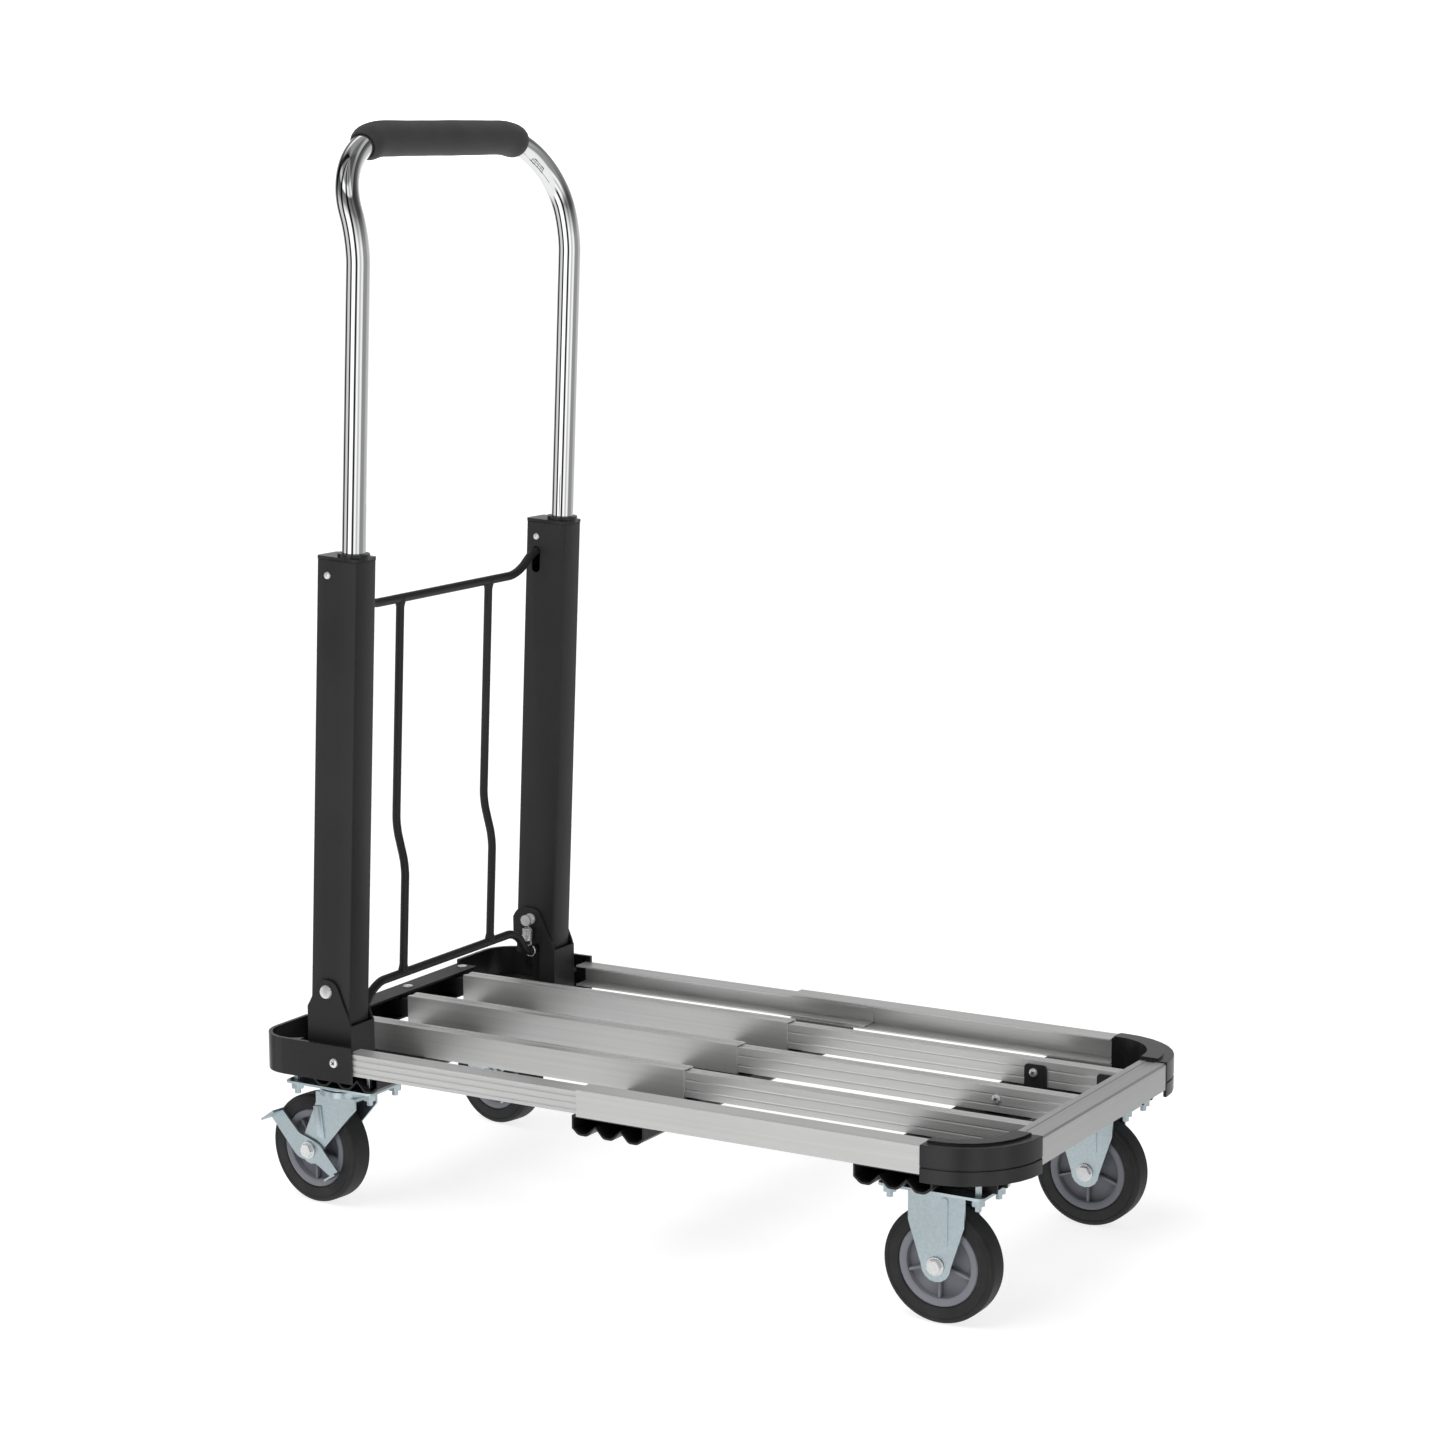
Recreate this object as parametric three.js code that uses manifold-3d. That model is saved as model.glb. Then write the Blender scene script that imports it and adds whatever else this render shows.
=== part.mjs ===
// Folding luggage cart: a telescoping aluminium platform on four castors,
// with a fold-down telescoping handle.
// Millimetres, +Z up. +X is the front of the platform, +Y its left side, and the floor is Z = 0.
// Pieces are placed from the front face of the platform; the last lines move the origin to mid length.
import * as THREE from "three";
import { mergeVertices } from "three/addons/utils/BufferGeometryUtils.js";
import Module from "manifold-3d";

const wasm = await Module();
wasm.setup();

// ---- Driving dimensions ----
const FIT = 0.3; // clearance between two pieces that touch
const OVERSHOOT = 1; // how far a cutting tool runs past the face it opens

const PLATFORM_LENGTH = 740;
const HALF_WIDTH = 196.5;
const DECK_TOP = 161.1;
const RAIL_BOTTOM = 137.4;
const SLAT_BOTTOM = 135;
const MEMBER_TOP = 134.7;
const MEMBER_BOTTOM = 117.5;
const LEFT_SLAT_Y = 91;

const WHEEL_RADIUS = 50;
const TYRE_WIDTH = 23;
const RIM_RADIUS = 35.8;
const AXLE_RADIUS = 4;
const FRONT_CASTOR = { x: -77.4, y: 145.8 };
const REAR_CASTOR = { x: -680, y: 143 };
const CASTOR_TRAIL = 32; // from the swivel axis back to the axle
// Degrees that each rear castor is turned from straight ahead.
const SWIVEL_REST = { left: -11.7, right: -7 };
const CASTOR_PLATE = { length: 96, width: 56, bottom: 114.7, top: 117.2 };
const CASTOR_BOLT_SPACING = { x: 80, y: 38 };

const PIVOT = { x: -671, z: 208 }; // the axis that the handle folds about, parallel to Y
const HANDLE_LEAN = THREE.MathUtils.degToRad(2.57);
const STANCHION = { centreX: 2.6, depth: 42.8, inner: 149.1, outer: 179, wall: 1.5, bottom: -36, top: 385 };
const TUBE_RADIUS = 10.5;
const TUBE_WALL = 1.5;
const TUBE_X = 11;
const TUBE_Y = 165.5;
const TUBE_FOOT = 262;
const ROD_RADIUS = 4;
const RACK_TRAVEL = 16;

const BLACK_STEEL = { color: 0x2b2b2e, roughness: 0.45, metalness: 0.3 };
const BLACK_PLASTIC = { color: 0x1f1f21, roughness: 0.5, metalness: 0 };
const ALUMINIUM = { color: 0xc6c6c4, roughness: 0.35, metalness: 0.9 };
const CHROME = { color: 0xe6e8ea, roughness: 0.06, metalness: 1 };
const ZINC = { color: 0xbac6cb, roughness: 0.3, metalness: 0.85 };
const RUBBER = { color: 0x1b1b1c, roughness: 0.75, metalness: 0 };
const GREY_PLASTIC = { color: 0x7d7f8a, roughness: 0.5, metalness: 0 };
const FOAM = { color: 0x3a3a3c, roughness: 0.95, metalness: 0 };
const BRIGHT_STEEL = { color: 0xd0d2d4, roughness: 0.25, metalness: 0.95 };

// ---- Shape helpers ----
const WELD = 1e-3;

function toSolid(geometry) {
  const bare = geometry.index ? geometry.toNonIndexed() : geometry.clone();
  bare.deleteAttribute("normal");
  bare.deleteAttribute("uv");
  const merged = mergeVertices(bare, WELD);
  const vertProperties = merged.attributes.position.array;
  const make = (triVerts) => new wasm.Manifold(new wasm.Mesh({ numProp: 3, vertProperties, triVerts }));
  const triVerts = new Uint32Array(merged.index.array);
  const solid = make(triVerts);
  return solid.volume() > 0 ? solid : make(triVerts.slice().reverse());
}

function toGeometry(solid) {
  const mesh = solid.getMesh();
  const geometry = new THREE.BufferGeometry();
  geometry.setAttribute("position", new THREE.BufferAttribute(new Float32Array(mesh.vertProperties), 3));
  geometry.setIndex(new THREE.BufferAttribute(new Uint32Array(mesh.triVerts), 1));
  return geometry;
}

const outward = (geometry) => toGeometry(toSolid(geometry));
const join = (...pieces) => toGeometry(pieces.map(toSolid).reduce((whole, piece) => whole.add(piece)));
const cut = (piece, ...tools) =>
  toGeometry(tools.map(toSolid).reduce((left, tool) => left.subtract(tool), toSolid(piece)));

function mirrored(geometry) {
  return outward(geometry.clone().scale(1, -1, 1));
}

// The share of a corner that a curve's handle takes, which makes a right-angled corner round.
const ARC_HANDLE = 0.5523;

// An outline from [x, y] or [x, y, corner radius] points.
function outlineOf(points) {
  const shape = new THREE.Shape();
  points.forEach(([x, y, radius = 0], i) => {
    const corner = new THREE.Vector2(x, y);
    const before = points[(i + points.length - 1) % points.length];
    const after = points[(i + 1) % points.length];
    const along = (p) =>
      new THREE.Vector2(p[0], p[1]).sub(corner).normalize().multiplyScalar(radius).add(corner);
    const start = along(before);
    const end = along(after);
    if (i === 0) shape.moveTo(start.x, start.y);
    else shape.lineTo(start.x, start.y);
    if (radius > 0) {
      const a = start.clone().lerp(corner, ARC_HANDLE);
      const b = end.clone().lerp(corner, ARC_HANDLE);
      shape.bezierCurveTo(a.x, a.y, b.x, b.y, end.x, end.y);
    }
  });
  return shape;
}

const asShape = (outline) => (Array.isArray(outline) ? outlineOf(outline) : outline);

function rectangle(x0, y0, x1, y1, radius = 0) {
  return [[x0, y0, radius], [x1, y0, radius], [x1, y1, radius], [x0, y1, radius]];
}

function disc(radius, sides, x = 0, y = 0) {
  const points = [];
  for (let i = 0; i < sides; i += 1) {
    const angle = (2 * Math.PI * i) / sides;
    points.push([x + radius * Math.cos(angle), y + radius * Math.sin(angle)]);
  }
  return points;
}

// Extrusions of an outline: alongX takes (Y, Z), alongY takes (X, Z) and alongZ takes (X, Y).
function extrusion(outline, depth, holes, curveSegments) {
  const shape = asShape(outline);
  shape.holes = holes.map(asShape);
  return new THREE.ExtrudeGeometry(shape, { depth, bevelEnabled: false, curveSegments });
}

function alongZ(outline, z0, z1, holes = [], curveSegments = 4) {
  return extrusion(outline, z1 - z0, holes, curveSegments).translate(0, 0, z0);
}

function alongX(outline, x0, x1, holes = [], curveSegments = 4) {
  const turn = new THREE.Matrix4().set(0, 0, 1, x0, 1, 0, 0, 0, 0, 1, 0, 0, 0, 0, 0, 1);
  return extrusion(outline, x1 - x0, holes, curveSegments).applyMatrix4(turn);
}

function alongY(outline, y0, y1, holes = [], curveSegments = 4) {
  const turn = new THREE.Matrix4().set(1, 0, 0, 0, 0, 0, -1, y1, 0, 1, 0, 0, 0, 0, 0, 1);
  return extrusion(outline, y1 - y0, holes, curveSegments).applyMatrix4(turn);
}

function block(x0, x1, y0, y1, z0, z1) {
  const size = new THREE.BoxGeometry(x1 - x0, y1 - y0, z1 - z0);
  return size.translate((x0 + x1) / 2, (y0 + y1) / 2, (z0 + z1) / 2);
}

// A turned piece about an axis parallel to Y through (x, z), from [radius, y] points.
function turnedOnY(profile, sides, x = 0, z = 0) {
  const points = profile.map(([radius, y]) => new THREE.Vector2(radius, y));
  return new THREE.LatheGeometry(points, sides).translate(x, 0, z);
}

function rodOnY(radius, y0, y1, x, z, sides = 12) {
  return alongY(disc(radius, sides, x, z), y0, y1);
}

function rodOnZ(radius, z0, z1, x, y, sides = 12) {
  return alongZ(disc(radius, sides, x, y), z0, z1);
}

// A sweep's path as the sections it passes: the ends of each straight run and steps along each bend.
class SectionPath extends THREE.Curve {
  constructor(sections) {
    super();
    this.sections = sections;
  }

  get steps() {
    return this.sections.length - 1;
  }

  between(first, last) {
    return new SectionPath(this.sections.slice(first, last + 1));
  }

  getPointAt(share, target = new THREE.Vector3()) {
    return target.copy(this.sections[Math.round(share * this.steps)].point);
  }

  getTangentAt(share, target = new THREE.Vector3()) {
    return target.copy(this.sections[Math.round(share * this.steps)].tangent);
  }
}

// A rod of the given radius along a path, hollow where boreRadius is given.
function swept(radius, sides, path, boreRadius = 0) {
  const section = asShape(disc(radius, sides));
  if (boreRadius > 0) section.holes = [asShape(disc(boreRadius, sides))];
  return new THREE.ExtrudeGeometry(section, { steps: path.steps, extrudePath: path, curveSegments: 1 });
}

// A path through [x, y, z] or [x, y, z, reach, reach after] points; a bend leaves and joins the straights
// at its reaches from the point.
function bentPath(points, bendSteps = 3) {
  const corners = points.map(([x, y, z]) => new THREE.Vector3(x, y, z));
  const sections = [];
  corners.forEach((corner, i) => {
    const [, , , reach = 0, reachAfter = reach] = points[i];
    const before = corners[Math.max(i - 1, 0)];
    const after = corners[Math.min(i + 1, corners.length - 1)];
    if (reach === 0) {
      sections.push({ point: corner, tangent: after.clone().sub(before).normalize() });
      return;
    }
    const start = before.clone().sub(corner).setLength(reach).add(corner);
    const end = after.clone().sub(corner).setLength(reachAfter).add(corner);
    const bend = new THREE.CubicBezierCurve3(
      start,
      start.clone().lerp(corner, ARC_HANDLE),
      end.clone().lerp(corner, ARC_HANDLE),
      end,
    );
    for (let step = 0; step <= bendSteps; step += 1) {
      const t = step / bendSteps;
      sections.push({ point: bend.getPoint(t), tangent: bend.getTangent(t) });
    }
  });
  return new SectionPath(sections);
}

// ---- The model's groups and its mesh maker ----
const cart = new THREE.Group();
const handle = new THREE.Group();
handle.position.set(PIVOT.x, 0, PIVOT.z);
handle.rotation.y = HANDLE_LEAN;
cart.add(handle);

function add(parent, name, geometry, look) {
  const mesh = new THREE.Mesh(outward(geometry), new THREE.MeshStandardMaterial(look));
  mesh.name = name;
  parent.add(mesh);
}

// Adds NAME_left as drawn and NAME_right as its mirror image.
function addPair(parent, name, geometry, look) {
  add(parent, name + "_left", geometry, look);
  add(parent, name + "_right", mirrored(geometry), look);
}

// ---- Platform: side rails ----
const FRONT_RAIL = { x0: -400, x1: -74.5, flange: 21.5, wall: 1.6 };
const REAR_RAIL = { x0: -639, x1: -322, flange: 19, wall: 1.6 };

// A channel that opens towards the middle; the web can carry shallow grooves at the given heights.
function channelOutline(outerY, z0, z1, flange, wall, grooves = [], grooveDepth = 0.7, grooveHeight = 2) {
  const webPoints = grooves.flatMap((z) => [
    [outerY, z],
    [outerY - grooveDepth, z],
    [outerY - grooveDepth, z + grooveHeight],
    [outerY, z + grooveHeight],
  ]);
  return [
    [outerY - flange, z0],
    [outerY, z0],
    ...webPoints,
    [outerY, z1],
    [outerY - flange, z1],
    [outerY - flange, z1 - wall],
    [outerY - wall, z1 - wall],
    [outerY - wall, z0 + wall],
    [outerY - flange, z0 + wall],
  ];
}

const frontRailOutline = channelOutline(
  HALF_WIDTH, RAIL_BOTTOM, DECK_TOP, FRONT_RAIL.flange, FRONT_RAIL.wall,
);
addPair(cart, "front_side_rail", alongX(frontRailOutline, FRONT_RAIL.x0, FRONT_RAIL.x1), ALUMINIUM);

const rearRailInset = FRONT_RAIL.wall + FIT;
const rearRailOutline = channelOutline(
  HALF_WIDTH - rearRailInset,
  RAIL_BOTTOM + rearRailInset,
  DECK_TOP - rearRailInset,
  REAR_RAIL.flange,
  REAR_RAIL.wall,
  [142.5, 148.2, 153.9],
);
addPair(cart, "rear_side_rail", alongX(rearRailOutline, REAR_RAIL.x0, REAR_RAIL.x1), ALUMINIUM);

// ---- Platform: slats. The front slats run inside the rear ones. ----
const REAR_SLAT = { x0: -708, x1: -352, halfWidth: 7.75, z0: SLAT_BOTTOM, z1: DECK_TOP, wall: 1.3, lip: 4 };
const FRONT_SLAT = { x0: -470, x1: -8, halfWidth: 6.15, z0: 136.6, z1: 159.4, wall: 1.3, lip: 3 };

function slatOutline({ halfWidth: w, z0, z1, wall, lip }, topGroove, webGrooves) {
  const side = [
    [lip, z0 + wall],
    [lip, z0],
    [w, z0],
    ...webGrooves.flatMap((z) => [[w, z], [w - 0.25, z + 0.6], [w - 0.25, z + 1.2], [w, z + 1.8]]),
    [w, z1],
    [topGroove, z1],
    [topGroove - 0.5, z1 - 0.6],
  ];
  const mirror = side.map(([y, z]) => [-y, z]).reverse();
  const inner = [
    [-w + wall, z0 + wall], [-w + wall, z1 - wall], [w - wall, z1 - wall], [w - wall, z0 + wall],
  ];
  return [...side, ...mirror, ...inner];
}

const rearSlat = alongX(slatOutline(REAR_SLAT, 3.4, []), REAR_SLAT.x0, REAR_SLAT.x1);
const frontSlat = alongX(slatOutline(FRONT_SLAT, 2.4, [142, 151]), FRONT_SLAT.x0, FRONT_SLAT.x1);
const SLAT_PLACES = { left: LEFT_SLAT_Y, centre: 0, right: -LEFT_SLAT_Y };
for (const [place, y] of Object.entries(SLAT_PLACES)) {
  add(cart, "rear_slat_" + place, rearSlat.clone().translate(0, y, 0), ALUMINIUM);
  add(cart, "front_slat_" + place, frontSlat.clone().translate(0, y, 0), ALUMINIUM);
}

// ---- Platform: crossbars ----
const CROSSBAR_HALF = 125.5;
const frontCrossbarOutline = [
  [0, RAIL_BOTTOM],
  [0, DECK_TOP - 1.5],
  [-1.5, DECK_TOP],
  [-10, DECK_TOP],
  [-10.7, DECK_TOP - 0.6],
  [-18.3, DECK_TOP - 0.6],
  [-19, DECK_TOP],
  [-25, DECK_TOP],
  [-25, DECK_TOP - 1.4],
  [-1.8, DECK_TOP - 1.4],
  [-1.8, RAIL_BOTTOM + 1.6],
  [-7, RAIL_BOTTOM + 1.6],
  [-7, RAIL_BOTTOM],
];
add(cart, "front_crossbar", alongY(frontCrossbarOutline, -CROSSBAR_HALF, CROSSBAR_HALF), ALUMINIUM);

// The rear crossbar is a steel channel open to the front, with a tongue into each slat.
const REAR_BAR = { x0: -PLATFORM_LENGTH, x1: -717, half: 119.5, z0: 137, z1: DECK_TOP, wall: 2 };
const rearBarOutline = [
  [REAR_BAR.x1, REAR_BAR.z1],
  [REAR_BAR.x0, REAR_BAR.z1],
  [REAR_BAR.x0, REAR_BAR.z0],
  [REAR_BAR.x1, REAR_BAR.z0],
  [REAR_BAR.x1, REAR_BAR.z0 + REAR_BAR.wall],
  [REAR_BAR.x0 + REAR_BAR.wall, REAR_BAR.z0 + REAR_BAR.wall],
  [REAR_BAR.x0 + REAR_BAR.wall, REAR_BAR.z1 - REAR_BAR.wall],
  [REAR_BAR.x1, REAR_BAR.z1 - REAR_BAR.wall],
];
const SLAT_TONGUE = { x1: -692, halfWidth: 5.8, z0: 140, z1: 157 };
const slatTongues = Object.values(SLAT_PLACES).map((y) =>
  block(
    REAR_BAR.x0 + REAR_BAR.wall / 2,
    SLAT_TONGUE.x1,
    y - SLAT_TONGUE.halfWidth,
    y + SLAT_TONGUE.halfWidth,
    SLAT_TONGUE.z0,
    SLAT_TONGUE.z1,
  ),
);
const rearCrossbar = join(alongY(rearBarOutline, -REAR_BAR.half, REAR_BAR.half), ...slatTongues);
add(cart, "rear_crossbar", rearCrossbar, BLACK_STEEL);

// ---- Platform: pressed steel cross members under the deck ----
const MEMBER_WIDTH = 72;
const MEMBER_HALF_LENGTH = 186;
const REAR_MEMBER_HALF_LENGTH = 171;
const FRONT_MEMBER_X = -104;
const MID_MEMBER_X = -375;
const REAR_MEMBER_X = -660;
const LOBE_PITCH = 25;

// Three lobes under a flat top; inset gives the inner face of the sheet.
function lobedOutline(centreX, inset) {
  const half = MEMBER_WIDTH / 2 - inset;
  const low = MEMBER_BOTTOM + inset;
  const valley = 126 + inset;
  const shoulder = 123 + inset / 2;
  const flat = 4.5 - inset / 2;
  const lobes = [-LOBE_PITCH, 0, LOBE_PITCH].flatMap((x, i) => [
    ...(i === 0 ? [] : [[x - LOBE_PITCH / 2, valley]]),
    [x - flat, low, 2],
    [x + flat, low, 2],
  ]);
  return [[-half, MEMBER_TOP - inset], [-half, shoulder], ...lobes, [half, shoulder], [half, MEMBER_TOP - inset]].map(
    ([x, z, radius]) => [centreX + x, z, radius],
  );
}

const MEMBER_SHEET = 1.8;
function lobedMember(centreX, halfLength = MEMBER_HALF_LENGTH) {
  return alongY(lobedOutline(centreX, 0), -halfLength, halfLength, [lobedOutline(centreX, MEMBER_SHEET)], 2);
}

// A castor tray: a flat sheet on a box stiffener, from x0 to x1, out to a castor on the left.
const TRAY = { inner: 117, outer: 176, sheet: 1.8, boxInner: 136, boxOuter: 156 };
function castorTray(x0, x1, sheetInner) {
  const sheetBottom = MEMBER_TOP - TRAY.sheet;
  return join(
    block(x0, x1, sheetInner, TRAY.outer, sheetBottom, MEMBER_TOP),
    block(x0, x1, TRAY.boxInner, TRAY.boxInner + TRAY.sheet, MEMBER_BOTTOM, MEMBER_TOP),
    block(x0, x1, TRAY.boxOuter - TRAY.sheet, TRAY.boxOuter, MEMBER_BOTTOM, MEMBER_TOP),
  );
}

// Upright tabs screwed to the slats' webs.
const TAB = { sheet: 1.7, z1: 156, length: 21, radius: 3 };
function slatTab(x0, y0) {
  const outline = [
    [x0, MEMBER_TOP - 1],
    [x0 + TAB.length, MEMBER_TOP - 1],
    [x0 + TAB.length, TAB.z1, TAB.radius],
    [x0, TAB.z1, TAB.radius],
  ];
  return alongY(outline, y0, y0 + TAB.sheet, [], 3);
}

const boltPlaces = (x, y) =>
  [-1, 1].flatMap((i) =>
    [-1, 1].map((j) => [x + (i * CASTOR_BOLT_SPACING.x) / 2, y + (j * CASTOR_BOLT_SPACING.y) / 2]),
  );
const BOLT_RADIUS = 3;
const boltHoles = ({ x, y }) =>
  [...boltPlaces(x, y), ...boltPlaces(x, -y)].map(([atX, atY]) =>
    rodOnZ(BOLT_RADIUS + FIT, MEMBER_BOTTOM - OVERSHOOT, MEMBER_TOP + OVERSHOOT, atX, atY, 6),
  );

const outerTabY = LEFT_SLAT_Y - FRONT_SLAT.halfWidth - FIT - TAB.sheet;
const centreTabY = FRONT_SLAT.halfWidth + FIT;
const frontTray = castorTray(-90, -25, outerTabY);
const frontTrayTab = slatTab(-46, outerTabY);
const memberTab = slatTab(-115, outerTabY);
const frontMember = cut(
  join(
    lobedMember(FRONT_MEMBER_X),
    frontTray,
    mirrored(frontTray),
    frontTrayTab,
    mirrored(frontTrayTab),
    memberTab,
    mirrored(memberTab),
    slatTab(-115, centreTabY),
  ),
  ...boltHoles(FRONT_CASTOR),
);
add(cart, "front_cross_member", frontMember, BLACK_STEEL);
add(cart, "mid_cross_member", lobedMember(MID_MEMBER_X), BLACK_STEEL);

const rearTray = castorTray(-733.5, -675, TRAY.inner);
const rearMember = cut(
  join(lobedMember(REAR_MEMBER_X, REAR_MEMBER_HALF_LENGTH), rearTray, mirrored(rearTray)),
  ...boltHoles(REAR_CASTOR),
);
add(cart, "rear_cross_member", rearMember, BLACK_STEEL);

// ---- Platform: moulded corners ----
// A corner's plan in (X, Y) on the left side, round one outer corner at endX: two arms joined by an arc,
// each arm a band of the given width. The insets move its outer and its inner edges into the material.
const CORNER_PROUD = 0.6;
const CORNER_SEGMENTS = 8;
const CORNER_WALL = 3;
const CORNER_BOTTOM = 131;
function cornerBand(corner, outerInset = 0, innerInset = 0, shorter = 0) {
  const x = (d) => corner.endX + corner.towards * d;
  const y = (d) => HALF_WIDTH + CORNER_PROUD - d;
  const armX = corner.armX - shorter;
  const armY = corner.armY - shorter;
  return [
    [x(armX), y(outerInset)],
    [x(outerInset), y(outerInset), corner.radius - outerInset],
    [x(outerInset), y(armY)],
    [x(corner.bandX - innerInset), y(armY)],
    [x(corner.bandX - innerInset), y(corner.bandY - innerInset), corner.inner],
    [x(armX), y(corner.bandY - innerInset)],
  ];
}

const cornerShell = (band, z0, z1) => alongZ(band, z0, z1, [], CORNER_SEGMENTS);

// A shallow groove round a corner's outer face.
function seam(corner, z0, z1, depth) {
  return cut(
    cornerShell(cornerBand(corner, -2, 6), z0, z1),
    cornerShell(cornerBand(corner, depth, -2, -OVERSHOOT), z0 - OVERSHOOT, z1 + OVERSHOOT),
  );
}

const FRONT_CORNER = {
  endX: CORNER_PROUD,
  towards: -1,
  armX: 74.8,
  armY: 71.3,
  radius: 69,
  bandX: 25.6,
  bandY: 20,
  inner: 44,
  top: 162.2,
  lipTop: 164,
  lipInset: 9,
};
const frontCorner = cut(
  join(
    cornerShell(cornerBand(FRONT_CORNER), CORNER_BOTTOM, FRONT_CORNER.top),
    cornerShell(cornerBand(FRONT_CORNER, FRONT_CORNER.lipInset, 0, 2), FRONT_CORNER.top - 1, FRONT_CORNER.lipTop),
  ),
  cornerShell(
    cornerBand(FRONT_CORNER, CORNER_WALL, CORNER_WALL, -OVERSHOOT),
    CORNER_BOTTOM - OVERSHOOT,
    DECK_TOP - CORNER_WALL,
  ),
  cornerShell(
    cornerBand(FRONT_CORNER, CORNER_WALL, -OVERSHOOT, -OVERSHOOT),
    CORNER_BOTTOM - OVERSHOOT,
    MEMBER_TOP + FIT,
  ),
  seam(FRONT_CORNER, 143, 144.6, 1.2),
);
addPair(cart, "front_corner", frontCorner, BLACK_PLASTIC);

// The rear corners are open trays with a thin wall, a low ledge and a gusset at the side.
const REAR_CORNER = {
  endX: -PLATFORM_LENGTH - CORNER_PROUD,
  towards: 1,
  armX: 106.6,
  armY: 77,
  radius: 32,
  bandX: 3.6,
  bandY: 3.6,
  inner: 28.4,
  top: 165,
  ledge: { z0: 135, z1: 136.8, width: 8 },
};
const rearCollar = { from: -640.2, to: -634, thickness: 1.4 };
const gusset = [
  [REAR_CORNER.endX + 30, HALF_WIDTH - 2],
  [REAR_CORNER.endX + 46, HALF_WIDTH - 2],
  [REAR_CORNER.endX + 46, HALF_WIDTH - 13],
];
const rearCorner = cut(
  join(
    cornerShell(cornerBand(REAR_CORNER), CORNER_BOTTOM + 1, REAR_CORNER.top),
    cornerShell(
      cornerBand({ ...REAR_CORNER, bandX: REAR_CORNER.ledge.width, bandY: REAR_CORNER.ledge.width, inner: 22 }),
      REAR_CORNER.ledge.z0,
      REAR_CORNER.ledge.z1,
    ),
    alongZ(gusset, 150, REAR_CORNER.top - 1),
  ),
  block(
    rearCollar.from - FIT,
    rearCollar.to + OVERSHOOT,
    100,
    HALF_WIDTH - rearRailInset + FIT,
    CORNER_BOTTOM - OVERSHOOT,
    DECK_TOP - rearRailInset + FIT,
  ),
  block(REAR_BAR.x0 - FIT, REAR_BAR.x1, 100, REAR_BAR.half + FIT, CORNER_BOTTOM, DECK_TOP + 0.5),
  seam(REAR_CORNER, 142.6, 144.2, 1.2),
  rodOnY(2.8, HALF_WIDTH - 20, HALF_WIDTH + 5, -652.7, 149.2, 10),
);
addPair(cart, "rear_corner", rearCorner, BLACK_PLASTIC);

// ---- Fasteners of the deck ----
// A round-headed screw whose head faces -Y at y, or +Y where outwards is 1.
function screwOnY(radius, headHeight, x, y, z, outwards, shank = 0) {
  const tip = y + outwards * headHeight;
  const head = turnedOnY(
    [[0, y], [radius, y], [radius * 0.85, y + outwards * headHeight * 0.6], [radius * 0.45, tip], [0, tip]],
    12,
    x,
    z,
  );
  if (shank === 0) return head;
  const y0 = Math.min(y, y - outwards * shank);
  return join(head, rodOnY(radius * 0.5, y0, y0 + shank, x, z, 8));
}

const cornerScrew = screwOnY(5, 2, -652.7, HALF_WIDTH + CORNER_PROUD + FIT, 149.2, 1, 6);
addPair(cart, "rear_corner_screw", cornerScrew, BRIGHT_STEEL);

// ---- Castors ----
const FORK = { inner: 12.7, sheet: 2.3, eye: 13.5 };
const forkOuter = FORK.inner + FORK.sheet;

// A fork leg's outline in (X, Z) round an axle at (axleX, WHEEL_RADIUS), from a top that spans x0 to x1.
function legOutline(x0, x1, shoulder, top, axleX) {
  const points = [[x0, top], [x0, shoulder]];
  const steps = 8;
  for (let i = 0; i <= steps; i += 1) {
    const angle = Math.PI + (Math.PI * i) / steps;
    points.push([axleX + FORK.eye * Math.cos(angle), WHEEL_RADIUS + FORK.eye * Math.sin(angle)]);
  }
  points.push([x1, shoulder], [x1, top]);
  return points;
}

// Both legs, each with a hole for the axle.
function forkLegs(outline, axleX) {
  return [1, -1].map((side) => {
    const y0 = side > 0 ? FORK.inner : -forkOuter;
    return alongY(outline, y0, y0 + FORK.sheet, [disc(AXLE_RADIUS + FIT, 8, axleX, WHEEL_RADIUS)]);
  });
}

function castorPlate() {
  const halfLength = CASTOR_PLATE.length / 2;
  const halfWidth = CASTOR_PLATE.width / 2;
  return alongZ(
    rectangle(-halfLength, -halfWidth, halfLength, halfWidth, 5),
    CASTOR_PLATE.bottom,
    CASTOR_PLATE.top,
    [],
    2,
  );
}

const RIB = { x0: 5, x1: 11, z0: 68, z1: 109, height: 1.2 };

// The studs that hold a castor plate up against its cross member, each with a nut below.
function castorStuds() {
  return boltPlaces(0, 0).map(([x, y]) =>
    join(
      rodOnZ(BOLT_RADIUS, 104, MEMBER_TOP - FIT, x, y, 6),
      rodOnZ(6, CASTOR_PLATE.bottom - 6, CASTOR_PLATE.bottom + 1, x, y, 6),
    ),
  );
}

function fixedFork() {
  const legs = forkLegs(legOutline(-25.5, 25.5, 86, CASTOR_PLATE.bottom + 1, 0), 0);
  const ribs = [-1, 1].map((side) => {
    const y0 = side > 0 ? forkOuter - 0.5 : -forkOuter - RIB.height;
    return alongY(rectangle(RIB.x0, RIB.z0, RIB.x1, RIB.z1, 2.5), y0, y0 + RIB.height + 0.5, [], 2);
  });
  return join(castorPlate(), ...castorStuds(), ...legs, ...ribs);
}

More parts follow.
